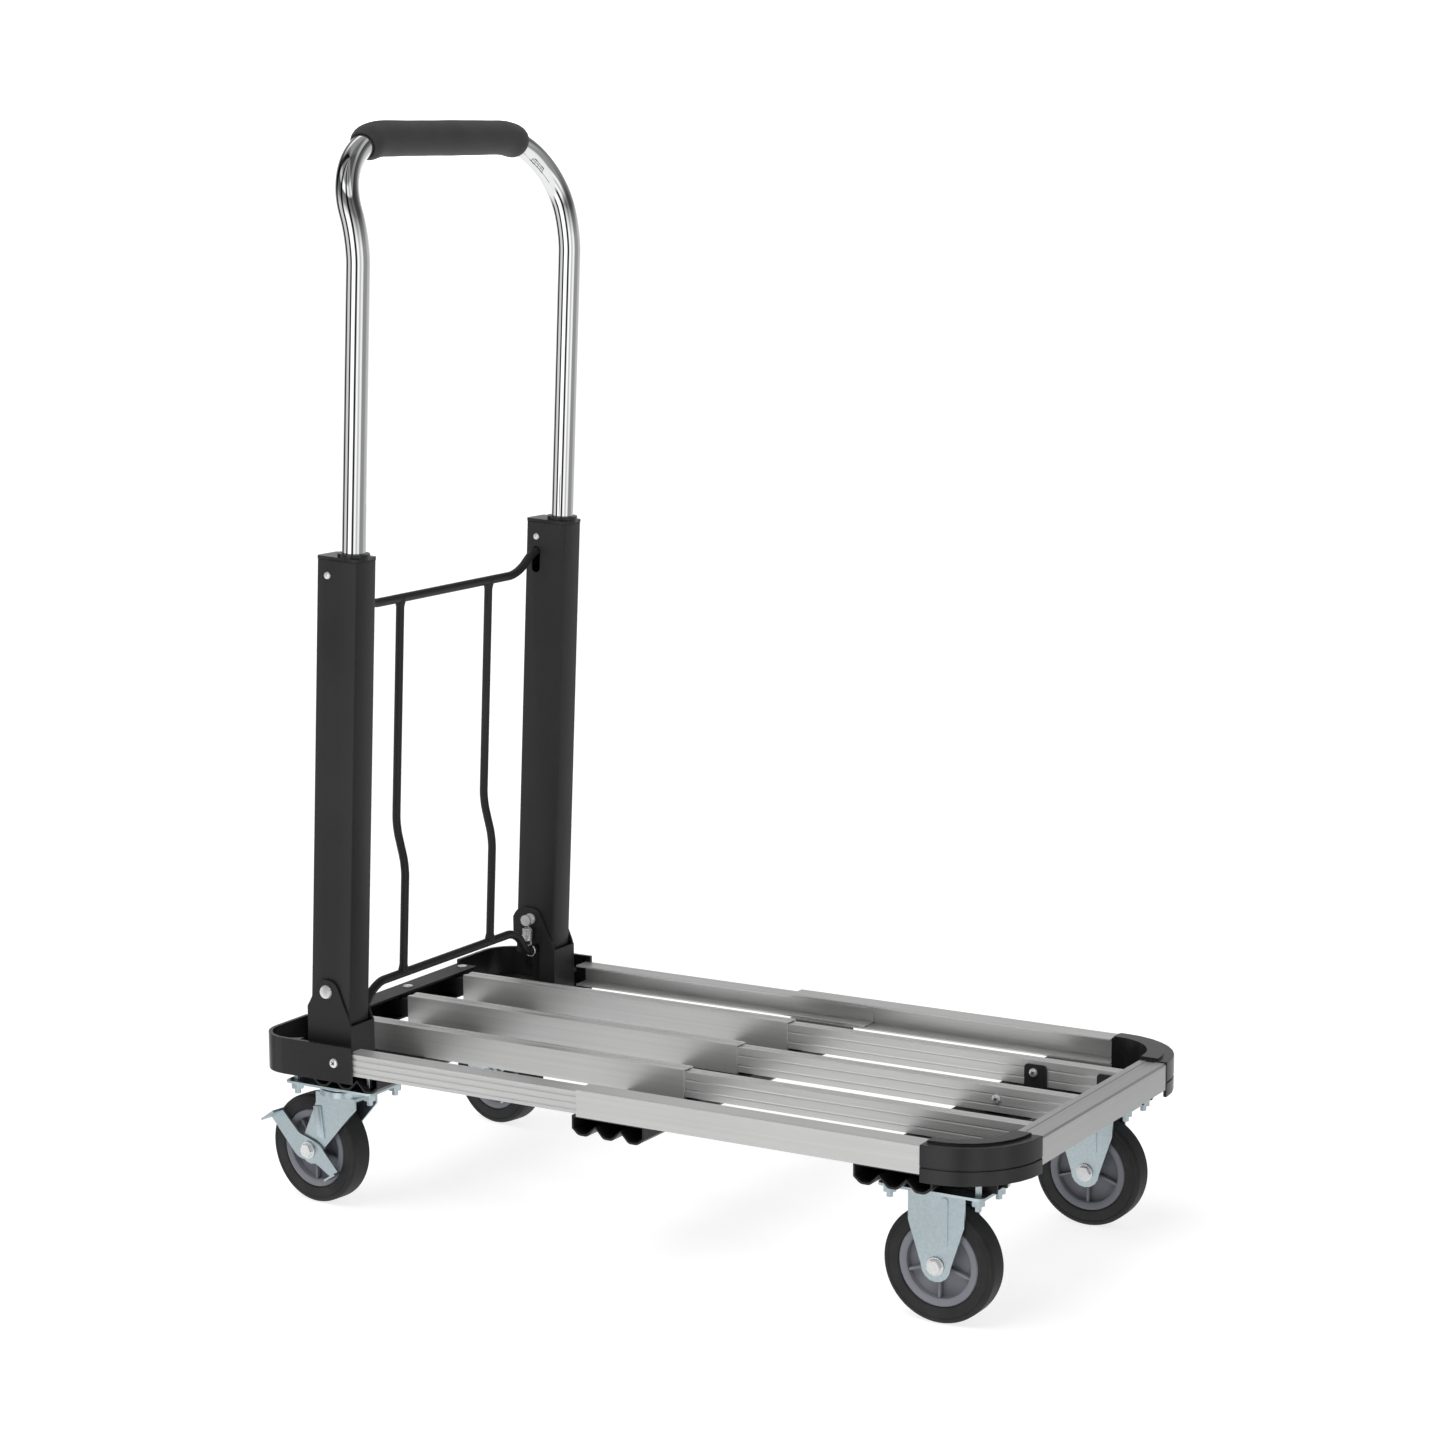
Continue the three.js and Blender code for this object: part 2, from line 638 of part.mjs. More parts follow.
// Axle bolt with a low head on the right and a nut on the left.
function axle(reach) {
  const head = 3.2;
  const washer = 1.4;
  return join(
    rodOnY(AXLE_RADIUS, -reach - FIT - washer - head, reach + 8, 0, 0, 12),
    rodOnY(8, -reach - FIT - washer, -reach - FIT, 0, 0, 14),
    rodOnY(6.4, -reach - FIT - washer - head, -reach - FIT - washer, 0, 0, 6),
    rodOnY(6.8, reach + FIT, reach + FIT + 5.4, 0, 0, 6),
  );
}

const TYRE_SIDES = 32;
const TYRE_BEAD = RIM_RADIUS + FIT;
function tyre() {
  const half = TYRE_WIDTH / 2;
  const profile = [
    [TYRE_BEAD, -half],
    [WHEEL_RADIUS - 5, -half],
    [WHEEL_RADIUS, -half + 5],
    [WHEEL_RADIUS, half - 5],
    [WHEEL_RADIUS - 5, half],
    [TYRE_BEAD, half],
    [TYRE_BEAD, -half],
  ];
  return turnedOnY(profile, TYRE_SIDES);
}

const HUB = { bore: AXLE_RADIUS + 0.4, radius: 9.5, half: 12.2 };
const RIM_SIDES = 20;
const SPOKES = 5;
function rim() {
  const ringHalf = 10.4;
  const ringInner = 29;
  const webHalf = 2.6;
  const profile = [
    [HUB.bore, -HUB.half],
    [HUB.radius, -HUB.half],
    [HUB.radius, -webHalf],
    [ringInner, -webHalf],
    [ringInner, -ringHalf],
    [RIM_RADIUS, -ringHalf],
    [RIM_RADIUS, ringHalf],
    [ringInner, ringHalf],
    [ringInner, webHalf],
    [HUB.radius, webHalf],
    [HUB.radius, HUB.half],
    [HUB.bore, HUB.half],
    [HUB.bore, -HUB.half],
  ];
  const spokes = [];
  for (let i = 0; i < SPOKES; i += 1) {
    const spoke = block(HUB.radius - 1.5, ringInner + 1, -8.4, 8.4, -1.5, 1.5);
    spokes.push(spoke.rotateY((2 * Math.PI * i) / SPOKES + Math.PI / 2));
  }
  return join(turnedOnY(profile, RIM_SIDES), ...spokes);
}

const SIDES = { left: 1, right: -1 };
for (const [sideName, side] of Object.entries(SIDES)) {
  const castor = new THREE.Group();
  castor.position.set(FRONT_CASTOR.x, side * FRONT_CASTOR.y, 0);
  cart.add(castor);
  const atAxle = (geometry) => geometry.translate(0, 0, WHEEL_RADIUS);
  add(castor, "front_fork_" + sideName, fixedFork(), ZINC);
  add(castor, "front_axle_" + sideName, atAxle(axle(forkOuter)), BRIGHT_STEEL);
  add(castor, "front_tyre_" + sideName, atAxle(tyre()), RUBBER);
  add(castor, "front_rim_" + sideName, atAxle(rim()), GREY_PLASTIC);
}

// The swivel castors: a plate with the upper race and king pin, and a raked fork under it.
const RACE = { radius: 24, forkZ0: 105.6, forkZ1: 111.2, plateZ0: 111.6, pin: 5, crownZ0: 103.2 };
const FORK_REACH = 24;

function swivelPlate() {
  return join(
    castorPlate(),
    ...castorStuds(),
    rodOnZ(RACE.radius - 2, RACE.plateZ0, CASTOR_PLATE.bottom + 1, 0, 0, 20),
    rodOnZ(RACE.pin, 102.8, RACE.plateZ0 + 1, 0, 0, 10),
  );
}

function swivelFork() {
  const legs = forkLegs(legOutline(-FORK_REACH, FORK_REACH, 96, RACE.forkZ0, -CASTOR_TRAIL), -CASTOR_TRAIL);
  const crown = block(-FORK_REACH, FORK_REACH, -forkOuter, forkOuter, RACE.crownZ0, RACE.forkZ0 + 0.5);
  const race = rodOnZ(RACE.radius, RACE.forkZ0, RACE.forkZ1, 0, 0, 20);
  const pinHole = rodOnZ(RACE.pin + FIT, RACE.crownZ0 - OVERSHOOT, RACE.forkZ1 + OVERSHOOT, 0, 0, 10);
  return cut(join(crown, race, ...legs), pinHole);
}

// The brake: a rocker plate on the axle with a tread tab to press down behind and a release tab in front.
const BRAKE = { sheet: 1.8, gap: 0.5, tab: 13 };
const brakeInner = forkOuter + BRAKE.gap;
function brakePedal() {
  const y1 = -brakeInner;
  const y0 = y1 - BRAKE.sheet;
  const plate = alongY(
    [[-33, 33, 3], [-47, 24, 2], [-14, -9, 5], [8, -11, 5], [27, -21, 4], [36, -15, 2], [12, 8, 6], [-12, 14, 3]],
    y0,
    y1,
    [disc(AXLE_RADIUS + FIT, 10)],
    3,
  );
  const tread = alongY([[-47, 24], [-45.6, 22.8], [-30.6, 32.4], [-32, 34.2]], y0 - BRAKE.tab, y1);
  const release = alongY([[24, -22], [25, -23.6], [37.5, -15.6], [36.5, -14]], y0 - BRAKE.tab * 0.5, y1);
  return join(plate, tread, release);
}

for (const [sideName, side] of Object.entries(SIDES)) {
  const castor = new THREE.Group();
  castor.position.set(REAR_CASTOR.x, side * REAR_CASTOR.y, 0);
  cart.add(castor);
  add(castor, "swivel_plate_" + sideName, swivelPlate(), ZINC);
  const swivel = new THREE.Group();
  swivel.rotation.z = THREE.MathUtils.degToRad(SWIVEL_REST[sideName]);
  castor.add(swivel);
  const atAxle = (geometry) => geometry.translate(-CASTOR_TRAIL, 0, WHEEL_RADIUS);
  add(swivel, "swivel_fork_" + sideName, swivelFork(), ZINC);
  add(swivel, "rear_axle_" + sideName, atAxle(axle(brakeInner + BRAKE.sheet)), BRIGHT_STEEL);
  add(swivel, "rear_tyre_" + sideName, atAxle(tyre()), RUBBER);
  add(swivel, "rear_rim_" + sideName, atAxle(rim()), GREY_PLASTIC);
  add(swivel, "brake_pedal_" + sideName, atAxle(brakePedal()), ZINC);
}

// ---- Handle brackets, drawn round the pivot ----
const BRACKET = { sheet: 2.2, rear: -21, front: 26.2, bottom: 135.2 - PIVOT.z, frontTop: -28.5 };
const bracketOuterY = STANCHION.outer + 0.5;
const bracketInnerY = STANCHION.inner - 0.5 - BRACKET.sheet;
const ROD_SWEEP = { radius: 25.2, x: 8.8 }; // the rack's foot passes here as the handle folds
const PIVOT_HOLE = 4.3;

function sweepArc() {
  const start = Math.atan2(-Math.sqrt(ROD_SWEEP.radius ** 2 - ROD_SWEEP.x ** 2), ROD_SWEEP.x);
  const end = -Math.PI + Math.atan2(Math.sqrt(ROD_SWEEP.radius ** 2 - BRACKET.rear ** 2), -BRACKET.rear);
  const steps = 6;
  const points = [];
  for (let i = 0; i <= steps; i += 1) {
    const angle = start + ((end - start) * i) / steps;
    points.push([ROD_SWEEP.radius * Math.cos(angle), ROD_SWEEP.radius * Math.sin(angle)]);
  }
  return points;
}

const bracketOuterPlate = alongY(
  [
    [BRACKET.rear, BRACKET.bottom],
    [BRACKET.rear, -15],
    [-12, 1, 4],
    [-8, 11.5, 7],
    [10, 10.5, 7],
    [BRACKET.front, BRACKET.frontTop, 4],
    [BRACKET.front, BRACKET.bottom],
  ],
  bracketOuterY,
  bracketOuterY + BRACKET.sheet,
  [disc(PIVOT_HOLE, 10)],
  3,
);
const bracketInnerPlate = alongY(
  [
    [ROD_SWEEP.x, BRACKET.bottom],
    ...sweepArc(),
    [BRACKET.rear, 0],
    [-15, 10.5, 7],
    [8, 10.5, 7],
    [BRACKET.front, BRACKET.frontTop, 4],
    [BRACKET.front, BRACKET.bottom],
  ],
  bracketInnerY,
  bracketInnerY + BRACKET.sheet,
  [disc(PIVOT_HOLE, 10)],
  3,
);
const bracket = join(
  bracketOuterPlate,
  bracketInnerPlate,
  block(
    BRACKET.front - BRACKET.sheet,
    BRACKET.front,
    bracketInnerY,
    bracketOuterY + BRACKET.sheet,
    BRACKET.bottom,
    BRACKET.frontTop,
  ),
  block(
    BRACKET.rear,
    BRACKET.front,
    bracketInnerY,
    bracketOuterY + BRACKET.sheet,
    BRACKET.bottom,
    BRACKET.bottom + BRACKET.sheet,
  ),
).translate(PIVOT.x, 0, PIVOT.z);
addPair(cart, "handle_bracket", bracket, BLACK_STEEL);

const SPRING_Y = 140.5;
const SPRING_SCREW = { neck: 3.4, head: 5.4 };
const pivotBolt = join(
  rodOnY(3.9, bracketInnerY - FIT - 1, bracketOuterY + BRACKET.sheet + FIT + 1, 0, 0, 12),
  turnedOnY(
    [
      [0, bracketOuterY + BRACKET.sheet + FIT],
      [6.4, bracketOuterY + BRACKET.sheet + FIT],
      [5.6, bracketOuterY + BRACKET.sheet + FIT + 1.6],
      [0, bracketOuterY + BRACKET.sheet + FIT + 2.2],
    ],
    14,
  ),
  rodOnY(SPRING_SCREW.head, bracketInnerY - FIT - 1.4, bracketInnerY - FIT, 0, 0, 12),
  rodOnY(SPRING_SCREW.neck, SPRING_Y - 2.6, bracketInnerY - FIT, 0, 0, 10),
  rodOnY(SPRING_SCREW.head, SPRING_Y - 4.4, SPRING_Y - 2.4, 0, 0, 12),
).translate(PIVOT.x, 0, PIVOT.z);
addPair(cart, "pivot_bolt", pivotBolt, BRIGHT_STEEL);

// ---- Handle: stanchions, in the handle's own frame with +Z up the stanchion ----
const stanchionX0 = STANCHION.centreX - STANCHION.depth / 2;
const stanchionX1 = STANCHION.centreX + STANCHION.depth / 2;
const ROD_X = -6.9; // the rack's upper rod and its slots
const ROD_TOP_Z = 357.6;
const SLOT = {
  half: ROD_RADIUS + 0.5,
  z0: ROD_TOP_Z - RACK_TRAVEL - ROD_RADIUS - 0.5,
  z1: ROD_TOP_Z + ROD_RADIUS + 0.5,
};

const CAP_RIVET = { x: -6.8, z: 371.5, radius: 3.4, shank: 1.4 };
const rivetHole = rodOnY(
  CAP_RIVET.shank + FIT,
  STANCHION.inner - OVERSHOOT,
  STANCHION.outer + OVERSHOOT,
  CAP_RIVET.x,
  CAP_RIVET.z,
  8,
);
const stanchionTube = alongZ(
  rectangle(stanchionX0, STANCHION.inner, stanchionX1, STANCHION.outer, 3),
  STANCHION.bottom,
  STANCHION.top,
  [
    rectangle(
      stanchionX0 + STANCHION.wall,
      STANCHION.inner + STANCHION.wall,
      stanchionX1 - STANCHION.wall,
      STANCHION.outer - STANCHION.wall,
      1.5,
    ),
  ],
  2,
);
const stanchion = cut(
  stanchionTube,
  rodOnY(PIVOT_HOLE, STANCHION.inner - OVERSHOOT, STANCHION.outer + OVERSHOOT, 0, 0, 12),
  rivetHole,
  alongY(
    rectangle(ROD_X - SLOT.half, SLOT.z0, ROD_X + SLOT.half, SLOT.z1, SLOT.half - 0.1),
    STANCHION.inner - OVERSHOOT,
    STANCHION.inner + STANCHION.wall + OVERSHOOT,
    [],
    4,
  ),
);
addPair(handle, "stanchion", stanchion, BLACK_STEEL);

const CAP = { plate: 3, collar: 3.4, collarRadius: 14.2, skirt: 18 };
const capBottom = STANCHION.top + FIT;
const skirtInset = STANCHION.wall + FIT;
const cap = cut(
  join(
    alongZ(
      rectangle(stanchionX0 - 0.3, STANCHION.inner - 0.3, stanchionX1 + 0.3, STANCHION.outer + 0.3, 3.2),
      capBottom,
      capBottom + CAP.plate,
      [],
      3,
    ),
    rodOnZ(CAP.collarRadius, capBottom + 1, capBottom + CAP.plate + CAP.collar, TUBE_X, TUBE_Y, 20),
    alongZ(
      rectangle(
        stanchionX0 + skirtInset,
        STANCHION.inner + skirtInset,
        stanchionX1 - skirtInset,
        STANCHION.outer - skirtInset,
        1.5,
      ),
      capBottom - CAP.skirt,
      capBottom + 1,
      [],
      1,
    ),
  ),
  rodOnZ(TUBE_RADIUS + FIT, capBottom - CAP.skirt - OVERSHOOT, capBottom + 20, TUBE_X, TUBE_Y, 20),
  rivetHole,
);
addPair(handle, "stanchion_cap", cap, BLACK_PLASTIC);

// One rivet goes through the stanchion and the skirt of its cap, behind the chrome tube.
const capRivet = join(
  rodOnY(CAP_RIVET.shank, STANCHION.inner - 1, STANCHION.outer + 1, CAP_RIVET.x, CAP_RIVET.z, 8),
  screwOnY(CAP_RIVET.radius, 1.6, CAP_RIVET.x, STANCHION.outer + FIT, CAP_RIVET.z, 1),
  screwOnY(CAP_RIVET.radius, 1.6, CAP_RIVET.x, STANCHION.inner - FIT, CAP_RIVET.z, -1),
);
addPair(handle, "cap_rivet", capRivet, BRIGHT_STEEL);

// ---- Handle: the chrome tube, bent back above its legs and over in one hoop ----
const HOOP = {
  bendZ: 660.7, bendReach: 22, topZ: 743.5, topX: -20.7, legReach: 66, topReach: 78.4, steps: 4,
};
const TUBE_SIDES = 12;
const hoopPath = bentPath(
  [
    [TUBE_X, -TUBE_Y, TUBE_FOOT],
    [TUBE_X, -TUBE_Y, HOOP.bendZ, HOOP.bendReach],
    [HOOP.topX, -TUBE_Y, HOOP.topZ, HOOP.legReach, HOOP.topReach],
    [HOOP.topX, TUBE_Y, HOOP.topZ, HOOP.topReach, HOOP.legReach],
    [TUBE_X, TUBE_Y, HOOP.bendZ, HOOP.bendReach],
    [TUBE_X, TUBE_Y, TUBE_FOOT],
  ],
  HOOP.steps,
);
add(handle, "handle_tube", swept(TUBE_RADIUS, TUBE_SIDES, hoopPath, TUBE_RADIUS - TUBE_WALL), CHROME);

// A plastic slider on the foot of each leg runs inside the stanchion.
const SLIDER = { height: 22, plug: 10 };
const slider = join(
  alongZ(
    rectangle(
      stanchionX0 + skirtInset,
      STANCHION.inner + skirtInset,
      stanchionX1 - skirtInset,
      STANCHION.outer - skirtInset,
      1.5,
    ),
    TUBE_FOOT - FIT - SLIDER.height,
    TUBE_FOOT - FIT,
    [],
    1,
  ),
  rodOnZ(TUBE_RADIUS - TUBE_WALL - FIT, TUBE_FOOT - 1, TUBE_FOOT + SLIDER.plug, TUBE_X, TUBE_Y, TUBE_SIDES),
);
addPair(handle, "tube_slider", slider, BLACK_PLASTIC);

// ---- Handle: foam grip round the top of the hoop ----
// It covers the hoop's straight top and the first step of the bend at each end.
const GRIP = { radius: 15.7, sides: 12, bendSteps: 1 };
const gripPath = hoopPath.between(
  2 + 2 * HOOP.steps + 1 - GRIP.bendSteps,
  3 + 2 * HOOP.steps + 1 + GRIP.bendSteps,
);
add(handle, "foam_grip", swept(GRIP.radius, GRIP.sides, gripPath, TUBE_RADIUS + 0.5), FOAM);

// ---- Handle: the wire rack that releases the fold, and its two springs ----
const RACK = {
  upperY: 118,
  upperDrop: 19,
  endY: 158,
  lowerX: 4,
  lowerZ: -6,
  lowerY: 114,
  footZ: -30,
  footY: 147.6,
  barY: 70,
  kinkZ0: 94,
  kinkZ1: 130,
};
const upperZ = ROD_TOP_Z - RACK.upperDrop;
const upperRod = bentPath([
  [ROD_X, -RACK.endY, ROD_TOP_Z],
  [ROD_X, -RACK.upperY - 26, ROD_TOP_Z, 9],
  [ROD_X, -RACK.upperY, upperZ, 14],
  [ROD_X, RACK.upperY, upperZ, 14],
  [ROD_X, RACK.upperY + 26, ROD_TOP_Z, 9],
  [ROD_X, RACK.endY, ROD_TOP_Z],
]);
const lowerRod = bentPath([
  [RACK.lowerX, -RACK.footY, RACK.footZ],
  [RACK.lowerX, -RACK.lowerY - 20, RACK.footZ, 6],
  [RACK.lowerX, -RACK.lowerY, RACK.lowerZ, 14],
  [RACK.lowerX, RACK.lowerY, RACK.lowerZ, 14],
  [RACK.lowerX, RACK.lowerY + 20, RACK.footZ, 6],
  [RACK.lowerX, RACK.footY, RACK.footZ],
]);
const ROD_SIDES = 8;
const bars = [-1, 1].map((side) => {
  const y = side * RACK.barY;
  const path = bentPath([
    [RACK.lowerX, y, RACK.lowerZ],
    [RACK.lowerX, y, RACK.kinkZ0, 10],
    [ROD_X, y, RACK.kinkZ1, 10],
    [ROD_X, y, upperZ],
  ]);
  return swept(ROD_RADIUS * 0.95, ROD_SIDES, path);
});
const rack = join(swept(ROD_RADIUS, ROD_SIDES, upperRod), swept(ROD_RADIUS, ROD_SIDES, lowerRod), ...bars);
add(handle, "wire_rack", rack, BLACK_STEEL);

const COIL = { outer: 5, inner: 3.6, z0: -21.5, z1: -8, wire: 0.8 };
function eye(radius, x, z) {
  const ring = [];
  const sides = 4;
  for (let i = 0; i <= sides; i += 1) {
    const angle = (2 * Math.PI * i) / sides;
    ring.push([radius + COIL.wire * Math.cos(angle), SPRING_Y + COIL.wire * Math.sin(angle)]);
  }
  return turnedOnY(ring, 12, x, z);
}
const spring = join(
  alongZ(disc(COIL.outer, 12, 0, SPRING_Y), COIL.z0, COIL.z1, [disc(COIL.inner, 12, 0, SPRING_Y)]),
  eye(SPRING_SCREW.neck + COIL.wire + FIT, 0, 0),
  block(-COIL.outer, COIL.outer, SPRING_Y - COIL.wire, SPRING_Y + COIL.wire, COIL.z1 - 2, COIL.z1),
  block(-0.8, 0.8, SPRING_Y - COIL.wire, SPRING_Y + COIL.wire, COIL.z1 - 1, -4.4),
  eye(ROD_RADIUS + COIL.wire + 0.5, RACK.lowerX, RACK.footZ),
  block(-COIL.outer, COIL.outer, SPRING_Y - COIL.wire, SPRING_Y + COIL.wire, COIL.z0, COIL.z0 + 2),
  block(1, 2.8, SPRING_Y - COIL.wire, SPRING_Y + COIL.wire, -25.2, COIL.z0 + 1),
);
addPair(handle, "rack_spring", spring, BRIGHT_STEEL);

// The origin is on the floor, under the middle of the whole object's length.
const ORIGIN_X = -381.45;
cart.children.forEach((child) => {
  child.position.x -= ORIGIN_X;
});

export default cart;
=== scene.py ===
"""Folding luggage cart: the looks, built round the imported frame.

Lengths are in millimetres until a mesh becomes a piece. Materials, camera and studio are in metres.
"""

import math

import bmesh
import bpy
from mathutils import Matrix, Vector


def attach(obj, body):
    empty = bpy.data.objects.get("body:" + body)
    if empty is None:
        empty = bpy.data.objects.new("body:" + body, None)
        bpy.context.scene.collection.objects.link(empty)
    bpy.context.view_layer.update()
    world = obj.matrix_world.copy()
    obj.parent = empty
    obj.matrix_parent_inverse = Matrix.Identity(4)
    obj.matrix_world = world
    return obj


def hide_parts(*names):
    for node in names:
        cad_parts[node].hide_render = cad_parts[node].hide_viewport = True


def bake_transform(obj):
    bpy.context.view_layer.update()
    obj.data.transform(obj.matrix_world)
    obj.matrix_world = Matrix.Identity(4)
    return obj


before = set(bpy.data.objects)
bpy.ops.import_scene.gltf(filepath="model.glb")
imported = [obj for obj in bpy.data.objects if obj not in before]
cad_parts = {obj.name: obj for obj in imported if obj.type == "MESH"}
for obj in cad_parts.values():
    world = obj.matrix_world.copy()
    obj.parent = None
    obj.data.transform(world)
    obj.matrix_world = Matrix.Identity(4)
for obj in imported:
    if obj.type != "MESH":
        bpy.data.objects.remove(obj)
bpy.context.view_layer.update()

# ---- Places shared with the CAD model, measured from the front crossbar's face ----
ORIGIN_X = -381.45
MILLIMETRE = 0.001
PIVOT = Vector((-671, 0, 208))
HANDLE_LEAN = math.radians(2.57)
WHEEL_RADIUS = 50
FRONT_CASTOR = Vector((-77.4, 145.8))
REAR_CASTOR = Vector((-680, 143))
CASTOR_TRAIL = 32
SWIVEL_REST = {"left": math.radians(-11.7), "right": math.radians(-7)}
SIDES = {"left": 1, "right": -1}
ROD_X = -6.9
ROD_TOP_Z = 357.6
SPRING_Y = 140.5

TO_METRES = Matrix.Scale(MILLIMETRE, 4) @ Matrix.Translation((-ORIGIN_X, 0, 0))
ON_HANDLE = TO_METRES @ Matrix.Translation(PIVOT) @ Matrix.Rotation(HANDLE_LEAN, 4, "Y")


# ---- Materials ----
# The noise scale of the slow change of tone and gloss on the larger surfaces.
CLOUD = 9.0
# The values that nearly all of a noise lies between.
NOISE_LOW, NOISE_HIGH = 0.3, 0.7


def shader(name, roughness, metallic=0.0, **sockets):
    """A new material and its Principled shader, with values that are the same all over."""
    made = bpy.data.materials.new(name)
    made.use_nodes = True
    bsdf = made.node_tree.nodes["Principled BSDF"]
    bsdf.inputs["Roughness"].default_value = roughness
    bsdf.inputs["Metallic"].default_value = metallic
    for socket, value in sockets.items():
        bsdf.inputs[socket.replace("_", " ")].default_value = value
    return made, bsdf


def place(made, stretch=(1, 1, 1)):
    """The surface's own place in metres, scaled along each axis, as a vector output."""
    nodes, links = made.node_tree.nodes, made.node_tree.links
    coords = nodes.new("ShaderNodeTexCoord")
    mapping = nodes.new("ShaderNodeMapping")
    mapping.inputs["Scale"].default_value = stretch
    links.new(coords.outputs["Object"], mapping.inputs["Vector"])
    return mapping.outputs["Vector"]


def noise(made, vector, scale, detail=3.0, roughness=0.5):
    nodes, links = made.node_tree.nodes, made.node_tree.links
    made_noise = nodes.new("ShaderNodeTexNoise")
    made_noise.inputs["Scale"].default_value = scale
    made_noise.inputs["Detail"].default_value = detail
    made_noise.inputs["Roughness"].default_value = roughness
    links.new(vector, made_noise.inputs["Vector"])
    return made_noise.outputs["Fac"]


def ramp(made, value, low, high, at=(0.35, 0.65)):
    """value turned into a colour between low and high."""
    nodes, links = made.node_tree.nodes, made.node_tree.links
    node = nodes.new("ShaderNodeValToRGB")
    node.color_ramp.elements[0].position = at[0]
    node.color_ramp.elements[1].position = at[1]
    node.color_ramp.elements[0].color = (*low, 1)
    node.color_ramp.elements[1].color = (*high, 1)
    links.new(value, node.inputs["Fac"])
    return node.outputs["Color"]


def spread(made, value, low, high):
    """A noise's usual values mapped to low to high."""
    nodes, links = made.node_tree.nodes, made.node_tree.links
    node = nodes.new("ShaderNodeMapRange")
    node.inputs["From Min"].default_value = NOISE_LOW
    node.inputs["From Max"].default_value = NOISE_HIGH
    node.inputs["To Min"].default_value = low
    node.inputs["To Max"].default_value = high
    links.new(value, node.inputs["Value"])
    return node.outputs["Result"]


def raise_surface(made, bsdf, height, distance):
    """Bumps the surface by distance metres where height is 1."""
    nodes, links = made.node_tree.nodes, made.node_tree.links
    bump = nodes.new("ShaderNodeBump")
    bump.inputs["Distance"].default_value = distance
    links.new(height, bump.inputs["Height"])
    links.new(bump.outputs["Normal"], bsdf.inputs["Normal"])


def drawn_aluminium(name, stretch, low=(0.65, 0.649, 0.642), high=(0.77, 0.769, 0.762)):
    """Mill-finish extrusion: fine die lines, and a slow change of tone along the bar."""
    made, bsdf = shader(name, 0.4, 0.7)
    links = made.node_tree.links
    lines = noise(made, place(made, stretch), 1.0, 4.0, 0.6)
    cloud = noise(made, place(made), CLOUD, 2.0)
    links.new(ramp(made, lines, low, high, (0.2, 0.8)), bsdf.inputs["Base Color"])
    links.new(spread(made, cloud, 0.34, 0.44), bsdf.inputs["Roughness"])
    raise_surface(made, bsdf, lines, 0.000016)
    return made


def powder_coat(name, low, high, roughness, grain, depth, sheen=0.3):
    """Satin powder coat or moulded plastic: a fine orange peel and a slightly uneven gloss."""
    made, bsdf = shader(name, roughness, 0.0, Specular_IOR_Level=sheen)
    links = made.node_tree.links
    peel = noise(made, place(made), grain, 2.0)
    cloud = noise(made, place(made), CLOUD, 3.0)
    links.new(ramp(made, cloud, low, high), bsdf.inputs["Base Color"])
    links.new(spread(made, cloud, roughness - 0.05, roughness + 0.06), bsdf.inputs["Roughness"])
    raise_surface(made, bsdf, peel, depth)
    return made


def plated(name, low, high, roughness, metallic=1.0, spangle=260.0, depth=0.00002):
    """Zinc or nickel plate: small spangles in tone and gloss."""
    made, bsdf = shader(name, roughness, metallic)
    links = made.node_tree.links
    flakes = noise(made, place(made), spangle, 3.0, 0.6)
    cloud = noise(made, place(made), 30.0, 2.0)
    links.new(ramp(made, flakes, low, high), bsdf.inputs["Base Color"])
    links.new(spread(made, cloud, roughness * 0.85, roughness * 1.2), bsdf.inputs["Roughness"])
    raise_surface(made, bsdf, cloud, depth)
    return made


def polished_chrome():
    made, bsdf = shader("chrome_plate", 0.05, 1.0)
    links = made.node_tree.links
    haze = noise(made, place(made, (30, 30, 2.5)), 1.0, 4.0)
    links.new(ramp(made, haze, (0.86, 0.865, 0.87), (0.93, 0.935, 0.94)), bsdf.inputs["Base Color"])
    links.new(spread(made, haze, 0.01, 0.03), bsdf.inputs["Roughness"])
    return made


def tyre_rubber():
    made, bsdf = shader("tyre_rubber", 0.62, 0.0, Specular_IOR_Level=0.25)
    links = made.node_tree.links
    dust = noise(made, place(made), 45.0, 4.0, 0.6)
    links.new(ramp(made, dust, (0.019, 0.019, 0.0197), (0.031, 0.031, 0.032)), bsdf.inputs["Base Color"])
    links.new(spread(made, dust, 0.55, 0.72), bsdf.inputs["Roughness"])
    raise_surface(made, bsdf, noise(made, place(made), 900.0, 2.0), 0.00006)
    return made


def closed_cell_foam():
    made, bsdf = shader("foam_sleeve", 0.85, 0.0, Sheen_Weight=0.12, Sheen_Roughness=0.5)
    nodes, links = made.node_tree.nodes, made.node_tree.links
    cloud = noise(made, place(made), 38.0, 4.0, 0.6)
    links.new(ramp(made, cloud, (0.03, 0.0293, 0.031), (0.042, 0.041, 0.0432)), bsdf.inputs["Base Color"])
    links.new(spread(made, cloud, 0.78, 0.92), bsdf.inputs["Roughness"])
    pores = nodes.new("ShaderNodeTexVoronoi")
    pores.inputs["Scale"].default_value = 1500.0
    links.new(place(made), pores.inputs["Vector"])
    raise_surface(made, bsdf, pores.outputs["Distance"], 0.00016)
    return made


